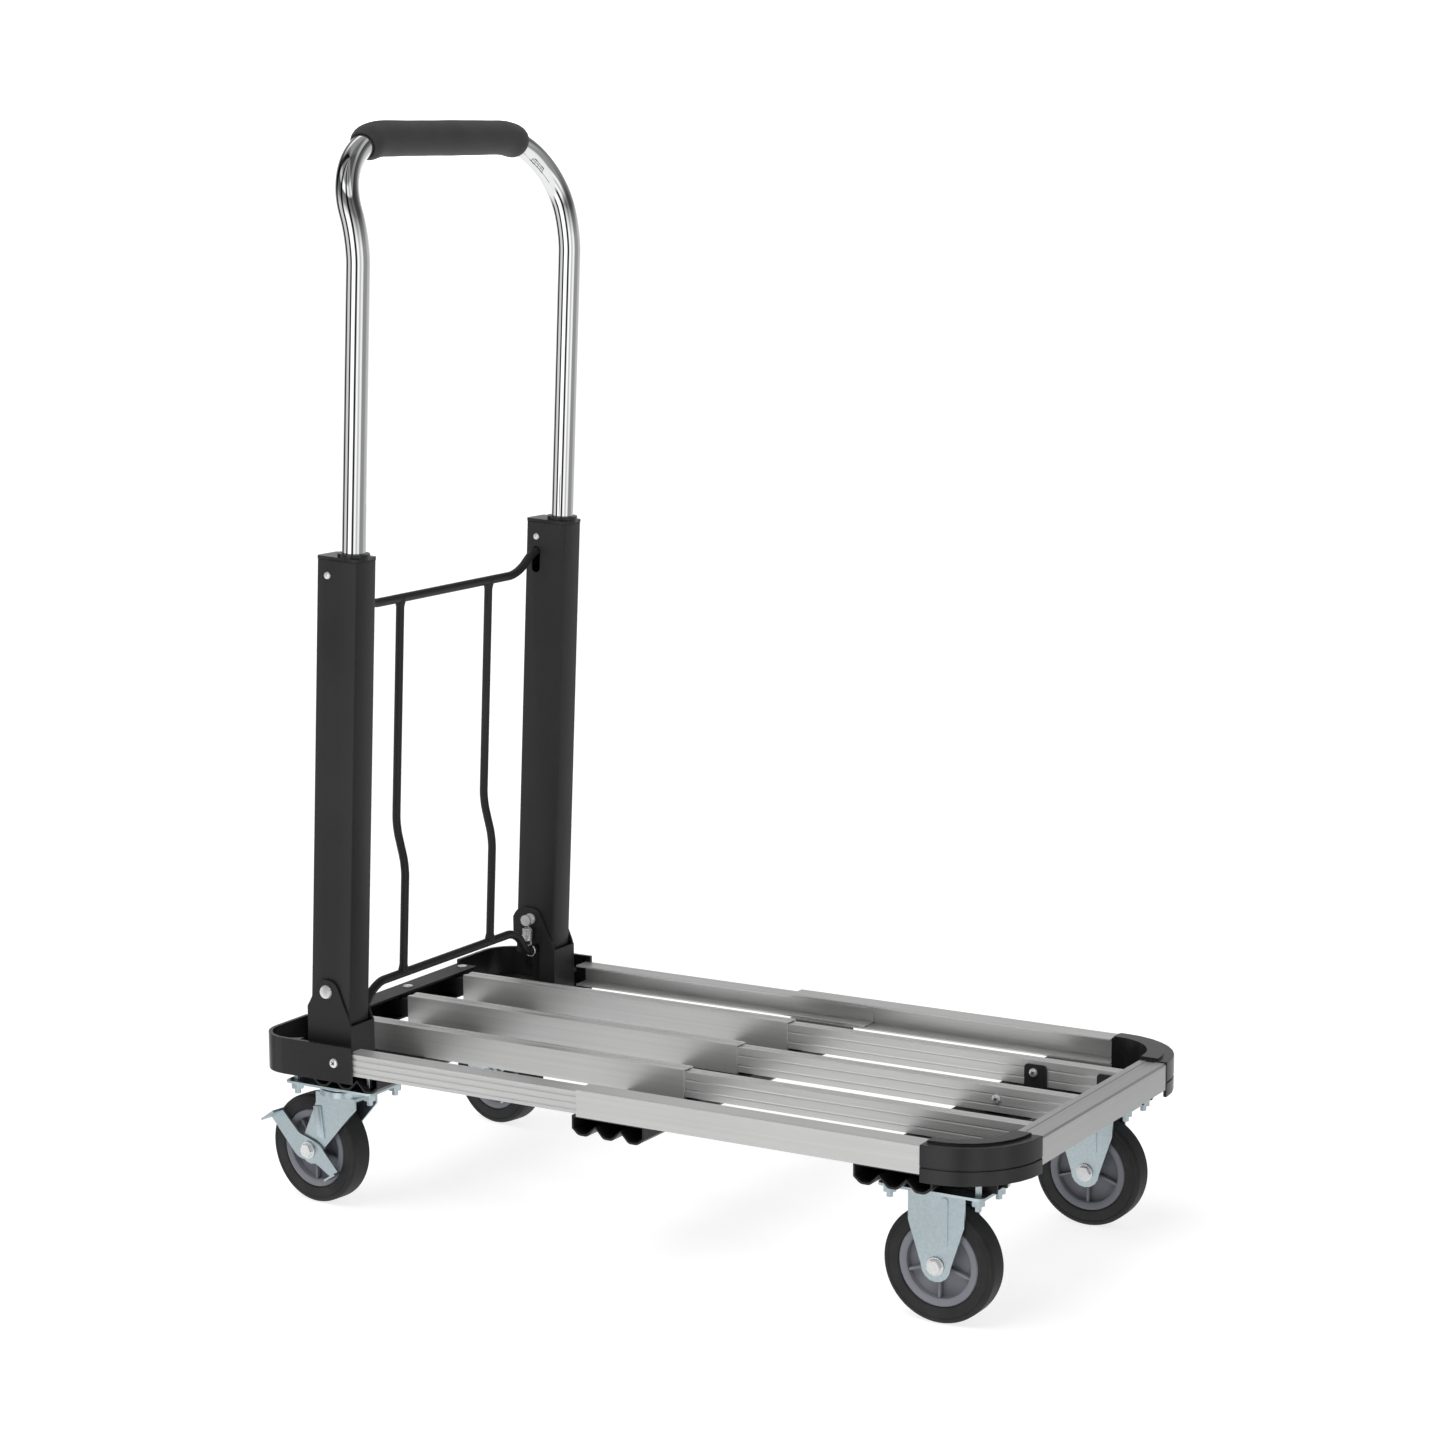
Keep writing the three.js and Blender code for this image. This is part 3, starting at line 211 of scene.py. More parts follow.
# A noise's scale along a bar and across it. The difference draws it out into die lines.
LINES_ALONG, LINES_ACROSS = 1.5, 240
MATERIALS = {
    "aluminium": drawn_aluminium("drawn_along", (LINES_ALONG, LINES_ACROSS, LINES_ACROSS)),
    "black_steel": powder_coat(
        "black_powder_coat",
        (0.0145, 0.014, 0.0147),
        (0.02, 0.0195, 0.0204),
        roughness=0.44,
        grain=700.0,
        depth=0.00005,
        sheen=0.4,
    ),
    "black_plastic": powder_coat(
        "black_plastic",
        (0.008, 0.008, 0.0085),
        (0.013, 0.013, 0.0137),
        roughness=0.3,
        grain=420.0,
        depth=0.00006,
        sheen=0.5,
    ),
    "chrome": polished_chrome(),
    "zinc": plated(
        "zinc_plate",
        (0.54, 0.635, 0.67),
        (0.62, 0.715, 0.75),
        roughness=0.34,
        spangle=420.0,
        depth=0.000004,
    ),
    "bright_steel": plated(
        "bright_plate", (0.8, 0.805, 0.81), (0.88, 0.885, 0.89), roughness=0.24, metallic=0.65
    ),
    "rubber": tyre_rubber(),
    "grey_plastic": powder_coat(
        "grey_nylon",
        (0.175, 0.18, 0.205),
        (0.215, 0.22, 0.245),
        roughness=0.45,
        grain=520.0,
        depth=0.00006,
    ),
    "foam": closed_cell_foam(),
}
# The front crossbar runs across the cart, so its die lines do too. Its tone is also darker than the other
# aluminium's: painted shade.
SHADED_CROSS_ALUMINIUM = drawn_aluminium(
    "drawn_across_shaded", (LINES_ACROSS, LINES_ALONG, LINES_ACROSS), (0.5, 0.5, 0.505), (0.58, 0.58, 0.585)
)


# ---- Mesh makers ----
# An edge that turns more than this is shaded sharp.
SHARP_EDGE = math.radians(38)
# How far a bend's handles reach towards its corner. This share makes a right-angled bend round.
ARC_HANDLE = 0.5523
BEVEL_SEGMENTS = 2


def new_piece(name, mesh, body, slot, stands_for=(), place_by=TO_METRES, material=None):
    """A mesh in millimetres becomes a piece that rides on a body, if one is named, in the slot's finish."""
    mesh.transform(place_by)
    if place_by.determinant() < 0:
        bmesh.ops.reverse_faces(mesh, faces=mesh.faces)
    data = bpy.data.meshes.new(name)
    mesh.to_mesh(data)
    mesh.free()
    data.set_sharp_from_angle(angle=SHARP_EDGE)
    made = bpy.data.objects.new(name, data)
    bpy.context.scene.collection.objects.link(made)
    data.materials.append(material or MATERIALS[slot])
    if body:
        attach(made, body)
    if stands_for:
        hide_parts(*stands_for)
    return made


def bridge_rings(mesh, rings, closed_path):
    """Faces between each ring of vertices and the next."""
    count = len(rings[0])
    pairs = list(zip(rings, rings[1:]))
    if closed_path:
        pairs.append((rings[-1], rings[0]))
    for first, second in pairs:
        for i in range(count):
            j = (i + 1) % count
            mesh.faces.new((first[i], first[j], second[j], second[i])).smooth = True


def turned(mesh, profile, segments, centre, turn):
    """A closed (radius, along) profile turned about Y. A profile that touches the axis is capped there."""
    centre = Vector(centre)
    rings = []
    on_axis = profile[0][0] == 0
    points = profile[1:-1] if on_axis else profile
    for step in range(segments):
        angle = 2 * math.pi * step / segments
        rings.append(
            [
                mesh.verts.new(centre + turn @ Vector((r * math.cos(angle), y, r * math.sin(angle))))
                for r, y in points
            ]
        )
    if not on_axis:
        bridge_rings(mesh, rings, True)
        return
    for step in range(segments):
        first, second = rings[step], rings[(step + 1) % segments]
        for i in range(len(points) - 1):
            mesh.faces.new((first[i], first[i + 1], second[i + 1], second[i])).smooth = True
    for end, index in ((profile[0], 0), (profile[-1], len(points) - 1)):
        tip = mesh.verts.new(centre + turn @ Vector((0, end[1], 0)))
        for step in range(segments):
            a, b = rings[step][index], rings[(step + 1) % segments][index]
            mesh.faces.new((tip, a, b) if index == 0 else (tip, b, a)).smooth = True


def settle(mesh):
    """The mesh, with its faces turned outwards."""
    bmesh.ops.recalc_face_normals(mesh, faces=mesh.faces)
    return mesh


def rounded_path(points, bend_steps=10):
    """Points along straight runs and bends.

    A corner is (x, y, z), and a bent one adds the bend's reach, or its reach before and after the corner.
    """
    corners = [Vector(p[:3]) for p in points]
    path = []
    for i, corner in enumerate(corners):
        if len(points[i]) == 3:
            path.append(corner)
            continue
        reach_before, reach_after = points[i][3], points[i][-1]
        start = corner + (corners[i - 1] - corner).normalized() * reach_before
        end = corner + (corners[i + 1] - corner).normalized() * reach_after
        a, b = start.lerp(corner, ARC_HANDLE), end.lerp(corner, ARC_HANDLE)
        for step in range(bend_steps + 1):
            t = step / bend_steps
            u = 1 - t
            path.append(u**3 * start + 3 * u * u * t * a + 3 * u * t * t * b + t**3 * end)
    return path


def rod(mesh, path, radii, sides, bore=0.0):
    """A round rod or tube along a path. radii is one radius or one for each point."""
    if not hasattr(radii, "__len__"):
        radii = [radii] * len(path)
    tangents = [
        (path[min(i + 1, len(path) - 1)] - path[max(i - 1, 0)]).normalized() for i in range(len(path))
    ]
    across = tangents[0].orthogonal().normalized()
    outer, inner = [], []
    for point, tangent, radius in zip(path, tangents, radii):
        across = (across - tangent * across.dot(tangent)).normalized()
        other = tangent.cross(across)
        ring = [
            across * math.cos(2 * math.pi * k / sides) + other * math.sin(2 * math.pi * k / sides)
            for k in range(sides)
        ]
        outer.append([mesh.verts.new(point + d * radius) for d in ring])
        if bore:
            inner.append([mesh.verts.new(point + d * bore) for d in ring])
    bridge_rings(mesh, outer, False)
    if not bore:
        mesh.faces.new(outer[0])
        mesh.faces.new(outer[-1])
        return
    bridge_rings(mesh, inner, False)
    for a, b in ((outer[0], inner[0]), (outer[-1], inner[-1])):
        for k in range(sides):
            j = (k + 1) % sides
            mesh.faces.new((a[k], a[j], b[j], b[k]))


def bar(mesh, size, centre, turn, edge):
    """A block with bevelled edges."""
    made = bmesh.ops.create_cube(mesh, size=1.0)["verts"]
    for v in made:
        v.co = Vector(centre) + turn @ Vector(c * s for c, s in zip(v.co, size))
    edges = {e for v in made for e in v.link_edges}
    bmesh.ops.bevel(mesh, geom=list(edges), offset=edge, segments=BEVEL_SEGMENTS, affect="EDGES", profile=0.5)


# ---- The CAD nodes: edges broken, curved faces smooth ----
# Corners this near, in metres, are one, and faces this nearly level with each other are one.
SAME_CORNER = 1e-6
SAME_PLANE = math.radians(0.5)
# For each slot, how wide its broken edges are, and how many degrees an edge turns at least to be one.
EDGE_BREAK = {
    "aluminium": (0.25, 15),
    "black_steel": (0.5, 34),
    "black_plastic": (0.45, 34),
    "zinc": (0.35, 34),
    "bright_steel": (0.25, 34),
}
for name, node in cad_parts.items():
    slot = node.material_slots[0].material.name.split(".")[0]
    node.data.materials.clear()
    # The front crossbar gets the darker aluminium copy, a painted shade.
    node.data.materials.append(SHADED_CROSS_ALUMINIUM if name == "front_crossbar" else MATERIALS[slot])
    if "custom_normal" in node.data.attributes:
        node.data.attributes.remove(node.data.attributes["custom_normal"])
    for face in node.data.polygons:
        face.use_smooth = True
    weld = node.modifiers.new("weld", "WELD")
    weld.merge_threshold = SAME_CORNER
    flatten = node.modifiers.new("flatten", "DECIMATE")
    flatten.decimate_type = "DISSOLVE"
    flatten.angle_limit = SAME_PLANE
    if slot in EDGE_BREAK:
        width, sharpness = EDGE_BREAK[slot]
        bevel = node.modifiers.new("edges", "BEVEL")
        bevel.width = width * MILLIMETRE
        bevel.segments = BEVEL_SEGMENTS
        bevel.limit_method = "ANGLE"
        bevel.angle_limit = math.radians(sharpness)
        bevel.harden_normals = True
        bevel.use_clamp_overlap = True


# ---- Wheels ----
# Half of each section, as (radius, place along the axle from the wheel's middle).
TYRE_PROFILE = [
    (36.1, -10.2),
    (37.2, -11.0),
    (38.6, -10.7),
    (44.8, -11.2),
    (45.4, -10.9),
    (46.0, -11.4),
    (47.6, -11.3),
    (48.9, -10.6),
    (49.5, -9.6),
    (49.3, -9.0),
    (49.85, -8.4),
    (50.0, -4.0),
]
RIM_PROFILE = [
    (4.4, -12.2),
    (8.6, -12.2),
    (9.5, -11.5),
    (9.9, -3.4),
    (11.0, -2.6),
    (27.6, -2.6),
    (28.7, -3.4),
    (29.2, -9.2),
    (30.4, -10.2),
    (34.9, -10.4),
    (35.8, -9.6),
]
TYRE_SIDES, RIM_SIDES = 96, 72
SPOKES = 5
SPOKE_SIZE = (20.4, 5.6, 2.5)
SPOKE_RADIUS, SPOKE_OUT = 19.4, 5.2


def mirrored_profile(profile):
    """Half a section and its mirror image."""
    return profile + [(r, -y) for r, y in reversed(profile)]


def spokes(mesh, turn, centre):
    """Ribs that stand on each face of the web, from the hub to the ring."""
    for k in range(SPOKES):
        spin = turn @ Matrix.Rotation(math.radians(90 + 360 / SPOKES * k), 3, "Y")
        for face in (1, -1):
            middle = Vector(centre) + spin @ Vector((SPOKE_RADIUS, face * SPOKE_OUT, 0))
            bar(mesh, SPOKE_SIZE, middle, spin, 0.5)


def wheel(end, side, centre, turn):
    """A tyre and a spoked rim, which ride on their wheel's body."""
    body = f"{end}_wheel_{side}"
    tyre = bmesh.new()
    turned(tyre, mirrored_profile(TYRE_PROFILE), TYRE_SIDES, centre, turn)
    new_piece(f"{end}_tyre_{side}_full", settle(tyre), body, "rubber", [f"{end}_tyre_{side}"])
    rim = bmesh.new()
    turned(rim, mirrored_profile(RIM_PROFILE), RIM_SIDES, centre, turn)
    spokes(rim, turn, centre)
    new_piece(f"{end}_rim_{side}_spoked", settle(rim), body, "grey_plastic", [f"{end}_rim_{side}"])


for side, sign in SIDES.items():
    wheel("front", side, (FRONT_CASTOR.x, sign * FRONT_CASTOR.y, WHEEL_RADIUS), Matrix.Identity(3))
    rest = SWIVEL_REST[side]
    hub = (
        REAR_CASTOR.x - CASTOR_TRAIL * math.cos(rest),
        sign * REAR_CASTOR.y - CASTOR_TRAIL * math.sin(rest),
        WHEEL_RADIUS,
    )
    wheel("rear", side, hub, Matrix.Rotation(rest, 3, "Z"))

# ---- A pressed rib on both legs of each swivel fork ----
RIB_SIZE = (9, 2.0, 30)
RIB_X, RIB_OUT, RIB_Z = -20, 15.6, 78
RIB_RAKE = Matrix.Rotation(math.radians(-8), 3, "Y")
for side, sign in SIDES.items():
    rest = Matrix.Rotation(SWIVEL_REST[side], 4, "Z")
    at_castor = TO_METRES @ Matrix.Translation((REAR_CASTOR.x, sign * REAR_CASTOR.y, 0)) @ rest
    rib = bmesh.new()
    for face in (1, -1):
        bar(rib, RIB_SIZE, (RIB_X, face * RIB_OUT, RIB_Z), RIB_RAKE, 0.6)
    new_piece(f"fork_rib_{side}", settle(rib), f"rear_swivel_{side}", "zinc", (), at_castor)

# ---- The chrome tube and its foam grip ----
TUBE_RADIUS, TUBE_BORE, TUBE_SIDES, TUBE_BEND_STEPS = 10.5, 9.0, 48, 24
TUBE_X, TUBE_Y, TUBE_FOOT = 11, 165.5, 262
BEND_Z, BEND_REACH = 660.7, 22
TOP_X, TOP_Z, TOP_REACH_LEG, TOP_REACH_ACROSS = -20.7, 743.5, 66, 78.4
HOOP_CORNERS = [
    (TUBE_X, -TUBE_Y, TUBE_FOOT),
    (TUBE_X, -TUBE_Y, BEND_Z, BEND_REACH),
    (TOP_X, -TUBE_Y, TOP_Z, TOP_REACH_LEG, TOP_REACH_ACROSS),
    (TOP_X, TUBE_Y, TOP_Z, TOP_REACH_ACROSS, TOP_REACH_LEG),
    (TUBE_X, TUBE_Y, BEND_Z, BEND_REACH),
    (TUBE_X, TUBE_Y, TUBE_FOOT),
]
hoop = rounded_path(HOOP_CORNERS, TUBE_BEND_STEPS)
tube = bmesh.new()
rod(tube, hoop, TUBE_RADIUS, TUBE_SIDES, bore=TUBE_BORE)
new_piece("chrome_hoop", settle(tube), "handle_top", "chrome", ["handle_tube"], ON_HANDLE)

GRIP_RADIUS, GRIP_BORE, GRIP_REACH = 15.7, 11.0, 121.0
GRIP_SIDES, GRIP_STEP = 48, 2.0
# How far the radius falls at each of the last rings, which rounds the sleeve's ends.
GRIP_LIP = [3.2, 1.9, 1.1, 0.55, 0.25, 0.1]


def resampled(path, step):
    """Points every step millimetres along the path."""
    out, carried = [path[0]], 0.0
    for a, b in zip(path, path[1:]):
        length = (b - a).length
        at = step - carried
        while at < length:
            out.append(a.lerp(b, at / length))
            at += step
        carried = length - (at - step)
    return out


grip_path = [p for p in resampled(hoop, GRIP_STEP) if abs(p.y) <= GRIP_REACH]
radii = []
for i in range(len(grip_path)):
    from_end = min(i, len(grip_path) - 1 - i)
    # Foam isn't quite even: its radius wanders a little along the sleeve.
    soft = 0.12 * math.sin(i * 0.11) + 0.05 * math.sin(i * 0.29 + 1.0)
    lip = GRIP_LIP[from_end] if from_end < len(GRIP_LIP) else 0
    radii.append(GRIP_RADIUS + soft - lip)
grip = bmesh.new()
rod(grip, grip_path, radii, GRIP_SIDES, bore=GRIP_BORE)
sleeve = new_piece("foam_sleeve", settle(grip), "handle_top", "foam", ["foam_grip"], ON_HANDLE)

# ---- The wire rack ----
ROD_RADIUS, ROD_SIDES = 4.0, 24
BAR_RADIUS, BAR_SIDES = 3.8, 20
BAR_Y, BAR_BEND_LOW, BAR_BEND_HIGH, BAR_BEND_REACH = 70, 94, 130, 10
UPPER_Z = ROD_TOP_Z - 19
LOWER_X, LOWER_Z, FOOT_Z = 4, -6, -30
upper = [
    (ROD_X, -158, ROD_TOP_Z),
    (ROD_X, -144, ROD_TOP_Z, 9),
    (ROD_X, -118, UPPER_Z, 14),
    (ROD_X, 118, UPPER_Z, 14),
    (ROD_X, 144, ROD_TOP_Z, 9),
    (ROD_X, 158, ROD_TOP_Z),
]
lower = [
    (LOWER_X, -147.6, FOOT_Z),
    (LOWER_X, -134, FOOT_Z, 6),
    (LOWER_X, -114, LOWER_Z, 14),
    (LOWER_X, 114, LOWER_Z, 14),
    (LOWER_X, 134, FOOT_Z, 6),
    (LOWER_X, 147.6, FOOT_Z),
]
rack = bmesh.new()
rod(rack, rounded_path(upper), ROD_RADIUS, ROD_SIDES)
rod(rack, rounded_path(lower), ROD_RADIUS, ROD_SIDES)
# A weld bead, as (distance along the bar from the rod, radius).
WELD_BEAD = [(0, 5.0), (3, 4.9), (5.5, 4.3), (8, 3.85)]
for sign in (1, -1):
    bar_corners = [
        (LOWER_X, sign * BAR_Y, LOWER_Z),
        (LOWER_X, sign * BAR_Y, BAR_BEND_LOW, BAR_BEND_REACH),
        (ROD_X, sign * BAR_Y, BAR_BEND_HIGH, BAR_BEND_REACH),
        (ROD_X, sign * BAR_Y, UPPER_Z),
    ]
    rod(rack, rounded_path(bar_corners), BAR_RADIUS, BAR_SIDES)
    for x, z, way in ((LOWER_X, LOWER_Z, 1), (ROD_X, UPPER_Z, -1)):
        bead = [Vector((x, sign * BAR_Y, z + way * along)) for along, _ in WELD_BEAD]
        rod(rack, bead, [r for _, r in WELD_BEAD], BAR_SIDES)
new_piece("rack_wires", settle(rack), "rack", "black_steel", ["wire_rack"], ON_HANDLE)

# ---- The rack's springs: a close coil, with an eye round the pivot's neck and one on the rack's foot ----
WIRE, WIRE_SIDES = 0.75, 8
COIL_RADIUS, COIL_TURNS, COIL_STEPS = 4.2, 8, 20
COIL_FOOT_Z, COIL_LENGTH = -21.0, 12.5
PIVOT_EYE, RACK_EYE = 4.5, 5.3
EYE_SWEEP, EYE_STEP = 330, 15
# Each eye, as (centre's X, centre's Z, radius, the angle where its hook meets it).
EYES = ((0, 0, PIVOT_EYE, -90), (LOWER_X, FOOT_Z, RACK_EYE, 90))
PIVOT_HOOK_Z, RACK_HOOK_Z = -7, -24.7


def round_coil(y, k):
    """The coil's point at step k."""
    angle = 2 * math.pi * k / COIL_STEPS
    z = COIL_FOOT_Z + COIL_LENGTH * k / (COIL_TURNS * COIL_STEPS)
    return Vector((COIL_RADIUS * math.cos(angle), y + COIL_RADIUS * math.sin(angle), z))


def round_eye(y, centre_x, centre_z, radius, degrees):
    """An eye's point at an angle."""
    angle = math.radians(degrees)
    return Vector((centre_x + radius * math.cos(angle), y, centre_z + radius * math.sin(angle)))


for side, sign in SIDES.items():
    y = sign * SPRING_Y
    spring = bmesh.new()
    coil = [round_coil(y, k) for k in range(COIL_TURNS * COIL_STEPS + 1)]
    rod(spring, coil, WIRE, WIRE_SIDES)
    for centre_x, centre_z, radius, start in EYES:
        eye = [round_eye(y, centre_x, centre_z, radius, start + a) for a in range(0, EYE_SWEEP + 1, EYE_STEP)]
        rod(spring, eye, WIRE, WIRE_SIDES)
    upper_hook = [Vector((0, y, -PIVOT_EYE)), Vector((1, y, PIVOT_HOOK_Z)), coil[-1]]
    lower_hook = [Vector((LOWER_X, y, RACK_HOOK_Z)), Vector((4.3, y, -22.5)), coil[0]]
    rod(spring, upper_hook, WIRE, WIRE_SIDES)
    rod(spring, lower_hook, WIRE, WIRE_SIDES)
    made = new_piece(
        f"coil_spring_{side}", settle(spring), None, "bright_steel", [f"rack_spring_{side}"], ON_HANDLE
    )
    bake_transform(made)


# ---- The corner screws, and the tab screws and rivets that only the looks have ----
SCREW_SIDES = 28


def screw(name, body, at, way, radius, stands_for=(), painted_recess_shade=True, height=0.5):
    """A pan-head screw, whose cross recess is two bars painted black as painted shade, or a rivet's head,
    facing along way from at.

    height is the head's height as a share of its radius.
    """
    mesh = bmesh.new()
    h = radius * height
    profile = [(0, -1.5), (radius * 0.5, -1.5), (radius * 0.5, 0), (radius, 0.02), (radius, h * 0.3)]
    profile += [(radius * 0.9, h * 0.72), (radius * 0.66, h * 0.95), (radius * 0.4, h), (0, h)]
    turn = Vector((0, 1, 0)).rotation_difference(Vector(way)).to_matrix()
    turned(mesh, profile, SCREW_SIDES, at, turn)
    settle(mesh)
    head_faces = len(mesh.faces)
    # The cross recess is two thin bars on the head, painted black: painted shade, not a cut hollow.
    if painted_recess_shade:
        for angle in (45, 135):
            spin = turn @ Matrix.Rotation(math.radians(angle), 3, "Y")
            middle = Vector(at) + turn @ Vector((0, h * 0.97, 0))
            bar(mesh, (radius * 0.85, 0.3, radius * 0.18), middle, spin, 0.05)
    made = new_piece(name, mesh, body, "bright_steel", stands_for)
    # The cross's faces, after the head's, take the black powder coat as painted shade.
    if painted_recess_shade:
        made.data.materials.append(MATERIALS["black_steel"])
        for face in made.data.polygons[head_faces:]:
            face.material_index = 1


TAB_SCREW_XS = (-106, -35.5)
TAB_SCREW_Y, TAB_SCREW_Z, TAB_SCREW_RADIUS = 82.6, 148.8, 4.0
CENTRE_SCREW = (-98.7, -6.6, 148.6)
CORNER_SCREW, CORNER_SCREW_RADIUS = Vector((-652.7, 196.6, 149.2)), 4.3
RIVET_YS = (-69, 22, 112)
RIVET_X, RIVET_Z, RIVET_RADIUS, RIVET_HEIGHT = -728.5, 161.2, 4.6, 0.22
for side, sign in SIDES.items():
    for i, x in enumerate(TAB_SCREW_XS):
        at = (x, sign * TAB_SCREW_Y, TAB_SCREW_Z)
        screw(f"tab_screw_{side}_{i}", "front_deck", at, (0, -sign, 0), TAB_SCREW_RADIUS)
    at = (CORNER_SCREW.x, sign * CORNER_SCREW.y, CORNER_SCREW.z)
    corner_node = f"rear_corner_screw_{side}"
    screw(f"corner_screw_{side}", "rear_deck", at, (0, sign, 0), CORNER_SCREW_RADIUS, [corner_node])
for i, y in enumerate(RIVET_YS):
    at = (RIVET_X, y, RIVET_Z)
    screw(f"bar_rivet_{i}", "rear_deck", at, (0, 0, 1), RIVET_RADIUS, painted_recess_shade=False, height=RIVET_HEIGHT)
screw("tab_screw_centre", "front_deck", CENTRE_SCREW, (0, -1, 0), TAB_SCREW_RADIUS)

# ---- Camera, in metres ----
EYE = Vector((1.50432, -2.54823, 0.96310))
AZIMUTH, ELEVATION, ROLL = math.radians(30.37), math.radians(9.89), math.radians(-0.16)
SENSOR_WIDTH, LENS = 36, 85.5
right = Vector((math.cos(AZIMUTH), math.sin(AZIMUTH), 0))
back = Vector(
    (math.sin(AZIMUTH) * math.cos(ELEVATION), -math.cos(AZIMUTH) * math.cos(ELEVATION), math.sin(ELEVATION))
)
up = back.cross(right)
rolled_right = right * math.cos(ROLL) + up * math.sin(ROLL)
rolled_up = up * math.cos(ROLL) - right * math.sin(ROLL)
camera_data = bpy.data.cameras.new("camera")
camera_data.sensor_width = SENSOR_WIDTH
camera_data.lens = LENS
camera = bpy.data.objects.new("camera", camera_data)
camera.matrix_world = Matrix(
    (
        (rolled_right.x, rolled_up.x, back.x, EYE.x),
        (rolled_right.y, rolled_up.y, back.y, EYE.y),
        (rolled_right.z, rolled_up.z, back.z, EYE.z),
        (0, 0, 0, 1),
    )
)
bpy.context.scene.collection.objects.link(camera)
bpy.context.scene.camera = camera

# ---- Floor, backdrop, sky and light, in metres ----
FLOOR_REACH, BACKDROP_RADIUS = 60.0, 55.0
FLOOR_DROP = 0.0004


def stage_piece(name, mesh, material, seen_by):
    """A piece of the studio, seen only by the kinds of ray that seen_by names."""
    data = bpy.data.meshes.new(name)
    mesh.to_mesh(data)
    mesh.free()
    data.materials.append(material)
    made = bpy.data.objects.new(name, data)
    for kind in ("camera", "diffuse", "glossy", "transmission", "shadow"):
        setattr(made, "visible_" + kind, kind in seen_by)
    bpy.context.scene.collection.objects.link(made)
    return made


paper, paper_shader = shader("white_floor", 0.8, Emission_Strength=0.8)
paper_tone = noise(paper, place(paper), 2.0)
paper.node_tree.links.new(
    ramp(paper, paper_tone, (0.33, 0.33, 0.33), (0.35, 0.35, 0.35)), paper_shader.inputs["Base Color"]
)
paper_shader.inputs["Emission Color"].default_value = (1, 1, 1, 1)
floor_mesh = bmesh.new()
bmesh.ops.create_grid(floor_mesh, x_segments=1, y_segments=1, size=FLOOR_REACH)
floor = stage_piece("floor", floor_mesh, paper, ("camera", "diffuse", "shadow"))
floor.location.z = -FLOOR_DROP

backdrop_white, backdrop_shader = shader("white_backdrop", 1.0, Emission_Strength=1.05)
backdrop_shader.inputs["Emission Color"].default_value = (1, 1, 1, 1)
dome = bmesh.new()
bmesh.ops.create_icosphere(dome, subdivisions=4, radius=BACKDROP_RADIUS)
stage_piece("backdrop", dome, backdrop_white, ("camera",))

# The sky only lights and is reflected: bright soft boxes and dark gaps all round, under a dim ceiling.
# The camera sees the backdrop in front of it.
world = bpy.data.worlds.new("studio")
bpy.context.scene.world = world
world.use_nodes = True
sky = world.node_tree
sky_place = sky.nodes.new("ShaderNodeTexCoord").outputs["Generated"]
sky_parts = sky.nodes.new("ShaderNodeSeparateXYZ")
sky.links.new(sky_place, sky_parts.inputs["Vector"])


def sky_dot(direction):
    dot = sky.nodes.new("ShaderNodeVectorMath")
    dot.operation = "DOT_PRODUCT"
    sky.links.new(sky_place, dot.inputs[0])
    dot.inputs[1].default_value = direction
    return dot.outputs["Value"]


def sky_ramp(value, low, high, stops):
    """A grey level that follows stops of (value, level) as value goes from low to high."""
    span = sky.nodes.new("ShaderNodeMapRange")
    span.inputs["From Min"].default_value = low
    span.inputs["From Max"].default_value = high
    sky.links.new(value, span.inputs["Value"])
    node = sky.nodes.new("ShaderNodeValToRGB")
    sky.links.new(span.outputs["Result"], node.inputs["Fac"])
    elements = node.color_ramp.elements
    while len(elements) < len(stops):
        elements.new(0.5)
    for element, (at, level) in zip(elements, stops):
        element.position = (at - low) / (high - low)
        element.color = (level, level, level, 1)
    return node.outputs["Color"]


# Degrees from the camera's side of the studio, counter-clockwise seen from above, and the level there.
BOXES = [
    (-180, 1.0),
    (-150, 1.0),
    (-136, 0.5),
    (-124, 0.03),
    (-106, 0.03),
    (-99, 0.65),
    (-74, 0.75),
    (-69, 0.02),
    (-56, 0.02),
    (-50, 1.3),
    (-22, 1.3),
    (-16, 0.02),
    (-2, 0.02),
    (4, 1.1),
    (17, 1.05),
    (25, 0.55),
    (33, 0.6),
    (42, 1.0),
    (52, 0.95),
    (61, 0.28),
    (97, 0.3),
    (108, 0.5),
    (136, 0.52),
    (152, 1.0),
    (180, 1.0),
]
CAMERA_SIDE = Vector((math.sin(AZIMUTH), -math.cos(AZIMUTH), 0))
around = sky.nodes.new("ShaderNodeMath")
around.operation = "ARCTAN2"
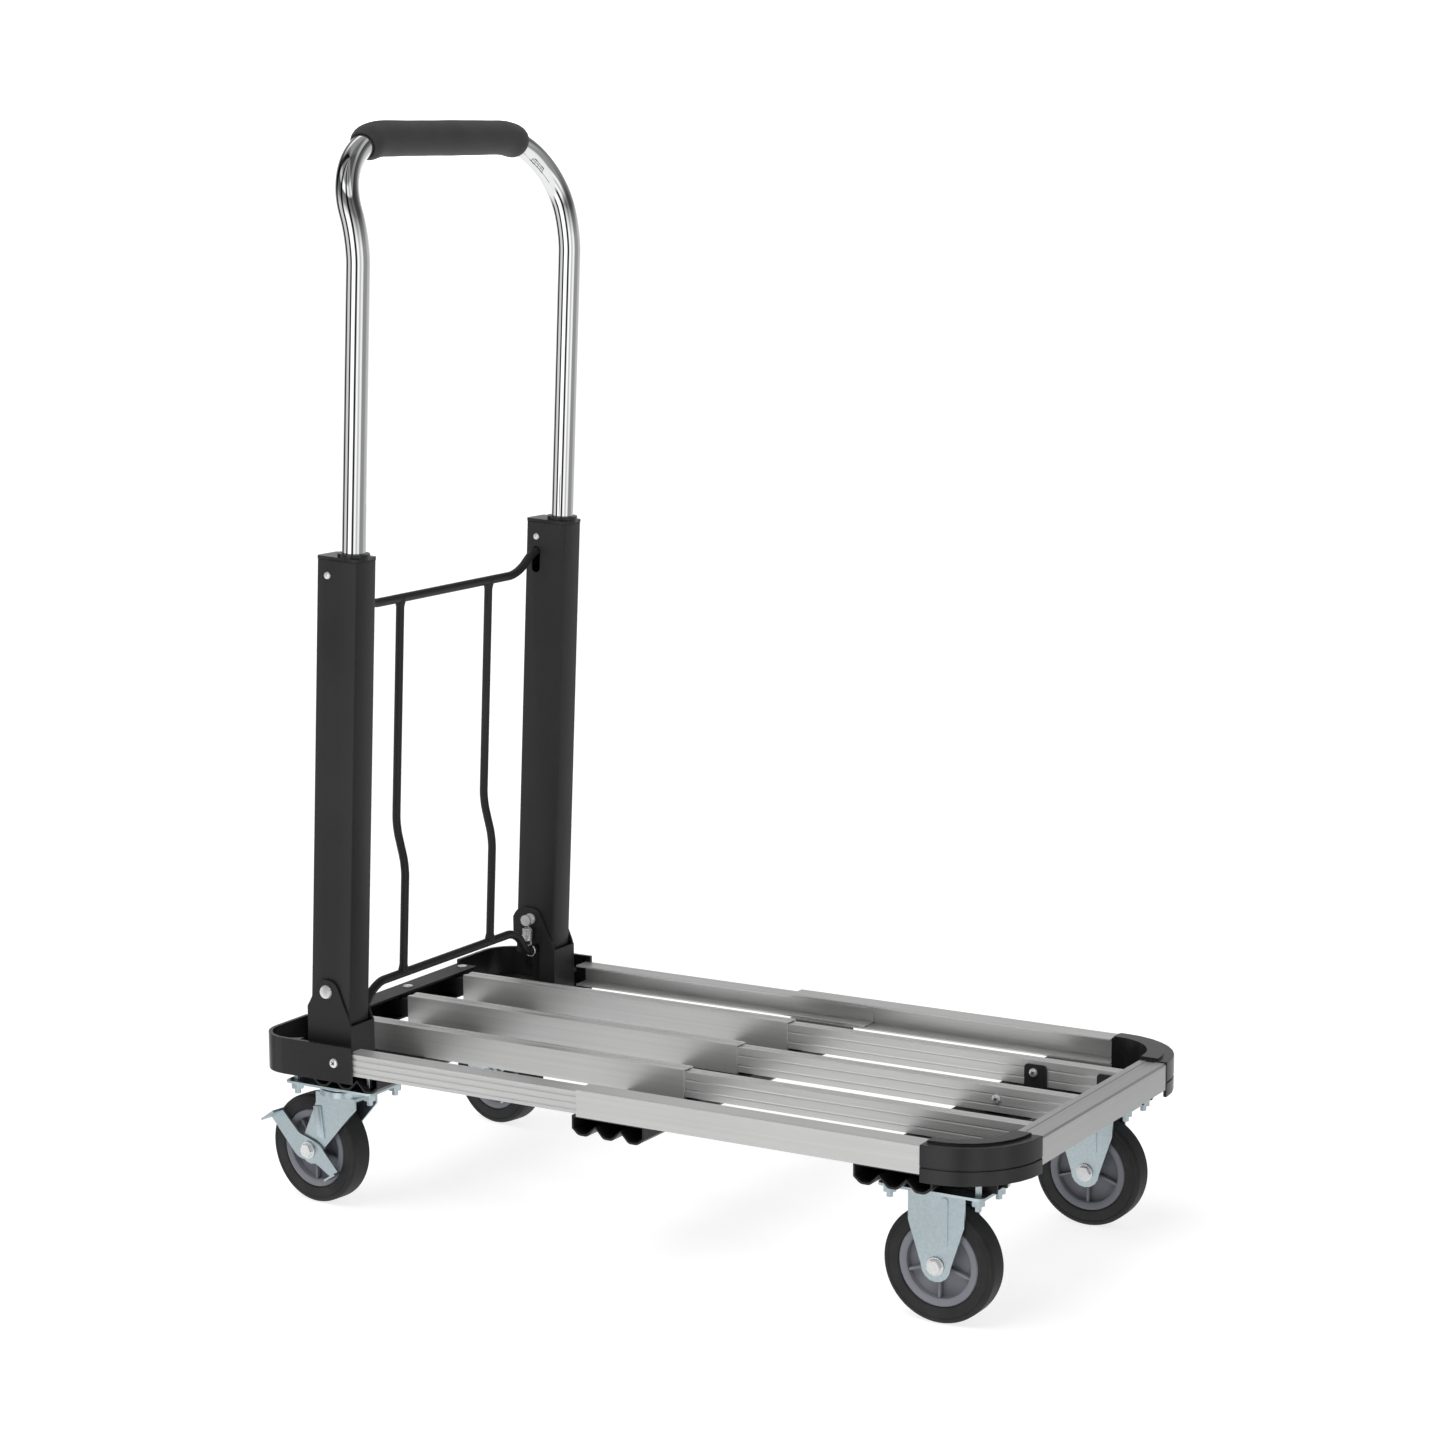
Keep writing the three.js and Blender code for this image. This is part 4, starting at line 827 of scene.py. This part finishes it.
sky.links.new(sky_dot(right), around.inputs[0])
sky.links.new(sky_dot(CAMERA_SIDE), around.inputs[1])
box_stops = [(math.radians(degrees), level) for degrees, level in BOXES]
boxes = sky_ramp(around.outputs["Value"], -math.pi, math.pi, box_stops)


# The places of a mix node's colour sockets, which share their names with its other sockets.
MIX_FACTOR, MIX_FIRST, MIX_SECOND, MIX_RESULT = 0, 6, 7, 2


def sky_mix(blend_type, factor, first, second):
    """Two colours mixed. Each of the last three is a number or a socket."""
    node = sky.nodes.new("ShaderNodeMix")
    node.data_type = "RGBA"
    node.blend_type = blend_type
    for value, at in ((factor, MIX_FACTOR), (first, MIX_FIRST), (second, MIX_SECOND)):
        if isinstance(value, (int, float)):
            node.inputs[at].default_value = value
        else:
            sky.links.new(value, node.inputs[at])
    return node.outputs[MIX_RESULT]


# Higher up the boxes fade, apart from one bright strip, and below the horizon a pale floor takes over.
# Stops are (Z of the direction, level).
low_down = sky_ramp(sky_parts.outputs["Z"], -1, 1, [(-0.4, 1), (-0.2, 0)])
CEILING = [(0.11, 1), (0.26, 0.55), (0.38, 0.22), (0.62, 0.12), (0.66, 0.9), (0.78, 0.9), (0.84, 0.3)]
ceiling = sky_ramp(sky_parts.outputs["Z"], -1, 1, CEILING)
walls = sky_mix("MULTIPLY", 1.0, boxes, ceiling)
floor_glow = sky_ramp(sky_parts.outputs["Z"], -1, 1, [(-1, 0.95), (-0.3, 0.9)])
sky.links.new(sky_mix("MIX", low_down, walls, floor_glow), sky.nodes["Background"].inputs["Color"])
sky.nodes["Background"].inputs["Strength"].default_value = 1.0

KEY_STRENGTH, KEY_SPREAD = 2.3, math.radians(50)
KEY_TILT = (math.radians(24), math.radians(-14), 0)
key_data = bpy.data.lights.new("key", "SUN")
key_data.energy = KEY_STRENGTH
key_data.angle = KEY_SPREAD
key = bpy.data.objects.new("key", key_data)
key.rotation_euler = KEY_TILT
key.visible_glossy = False
bpy.context.scene.collection.objects.link(key)

bpy.context.scene.view_settings.view_transform = "Standard"
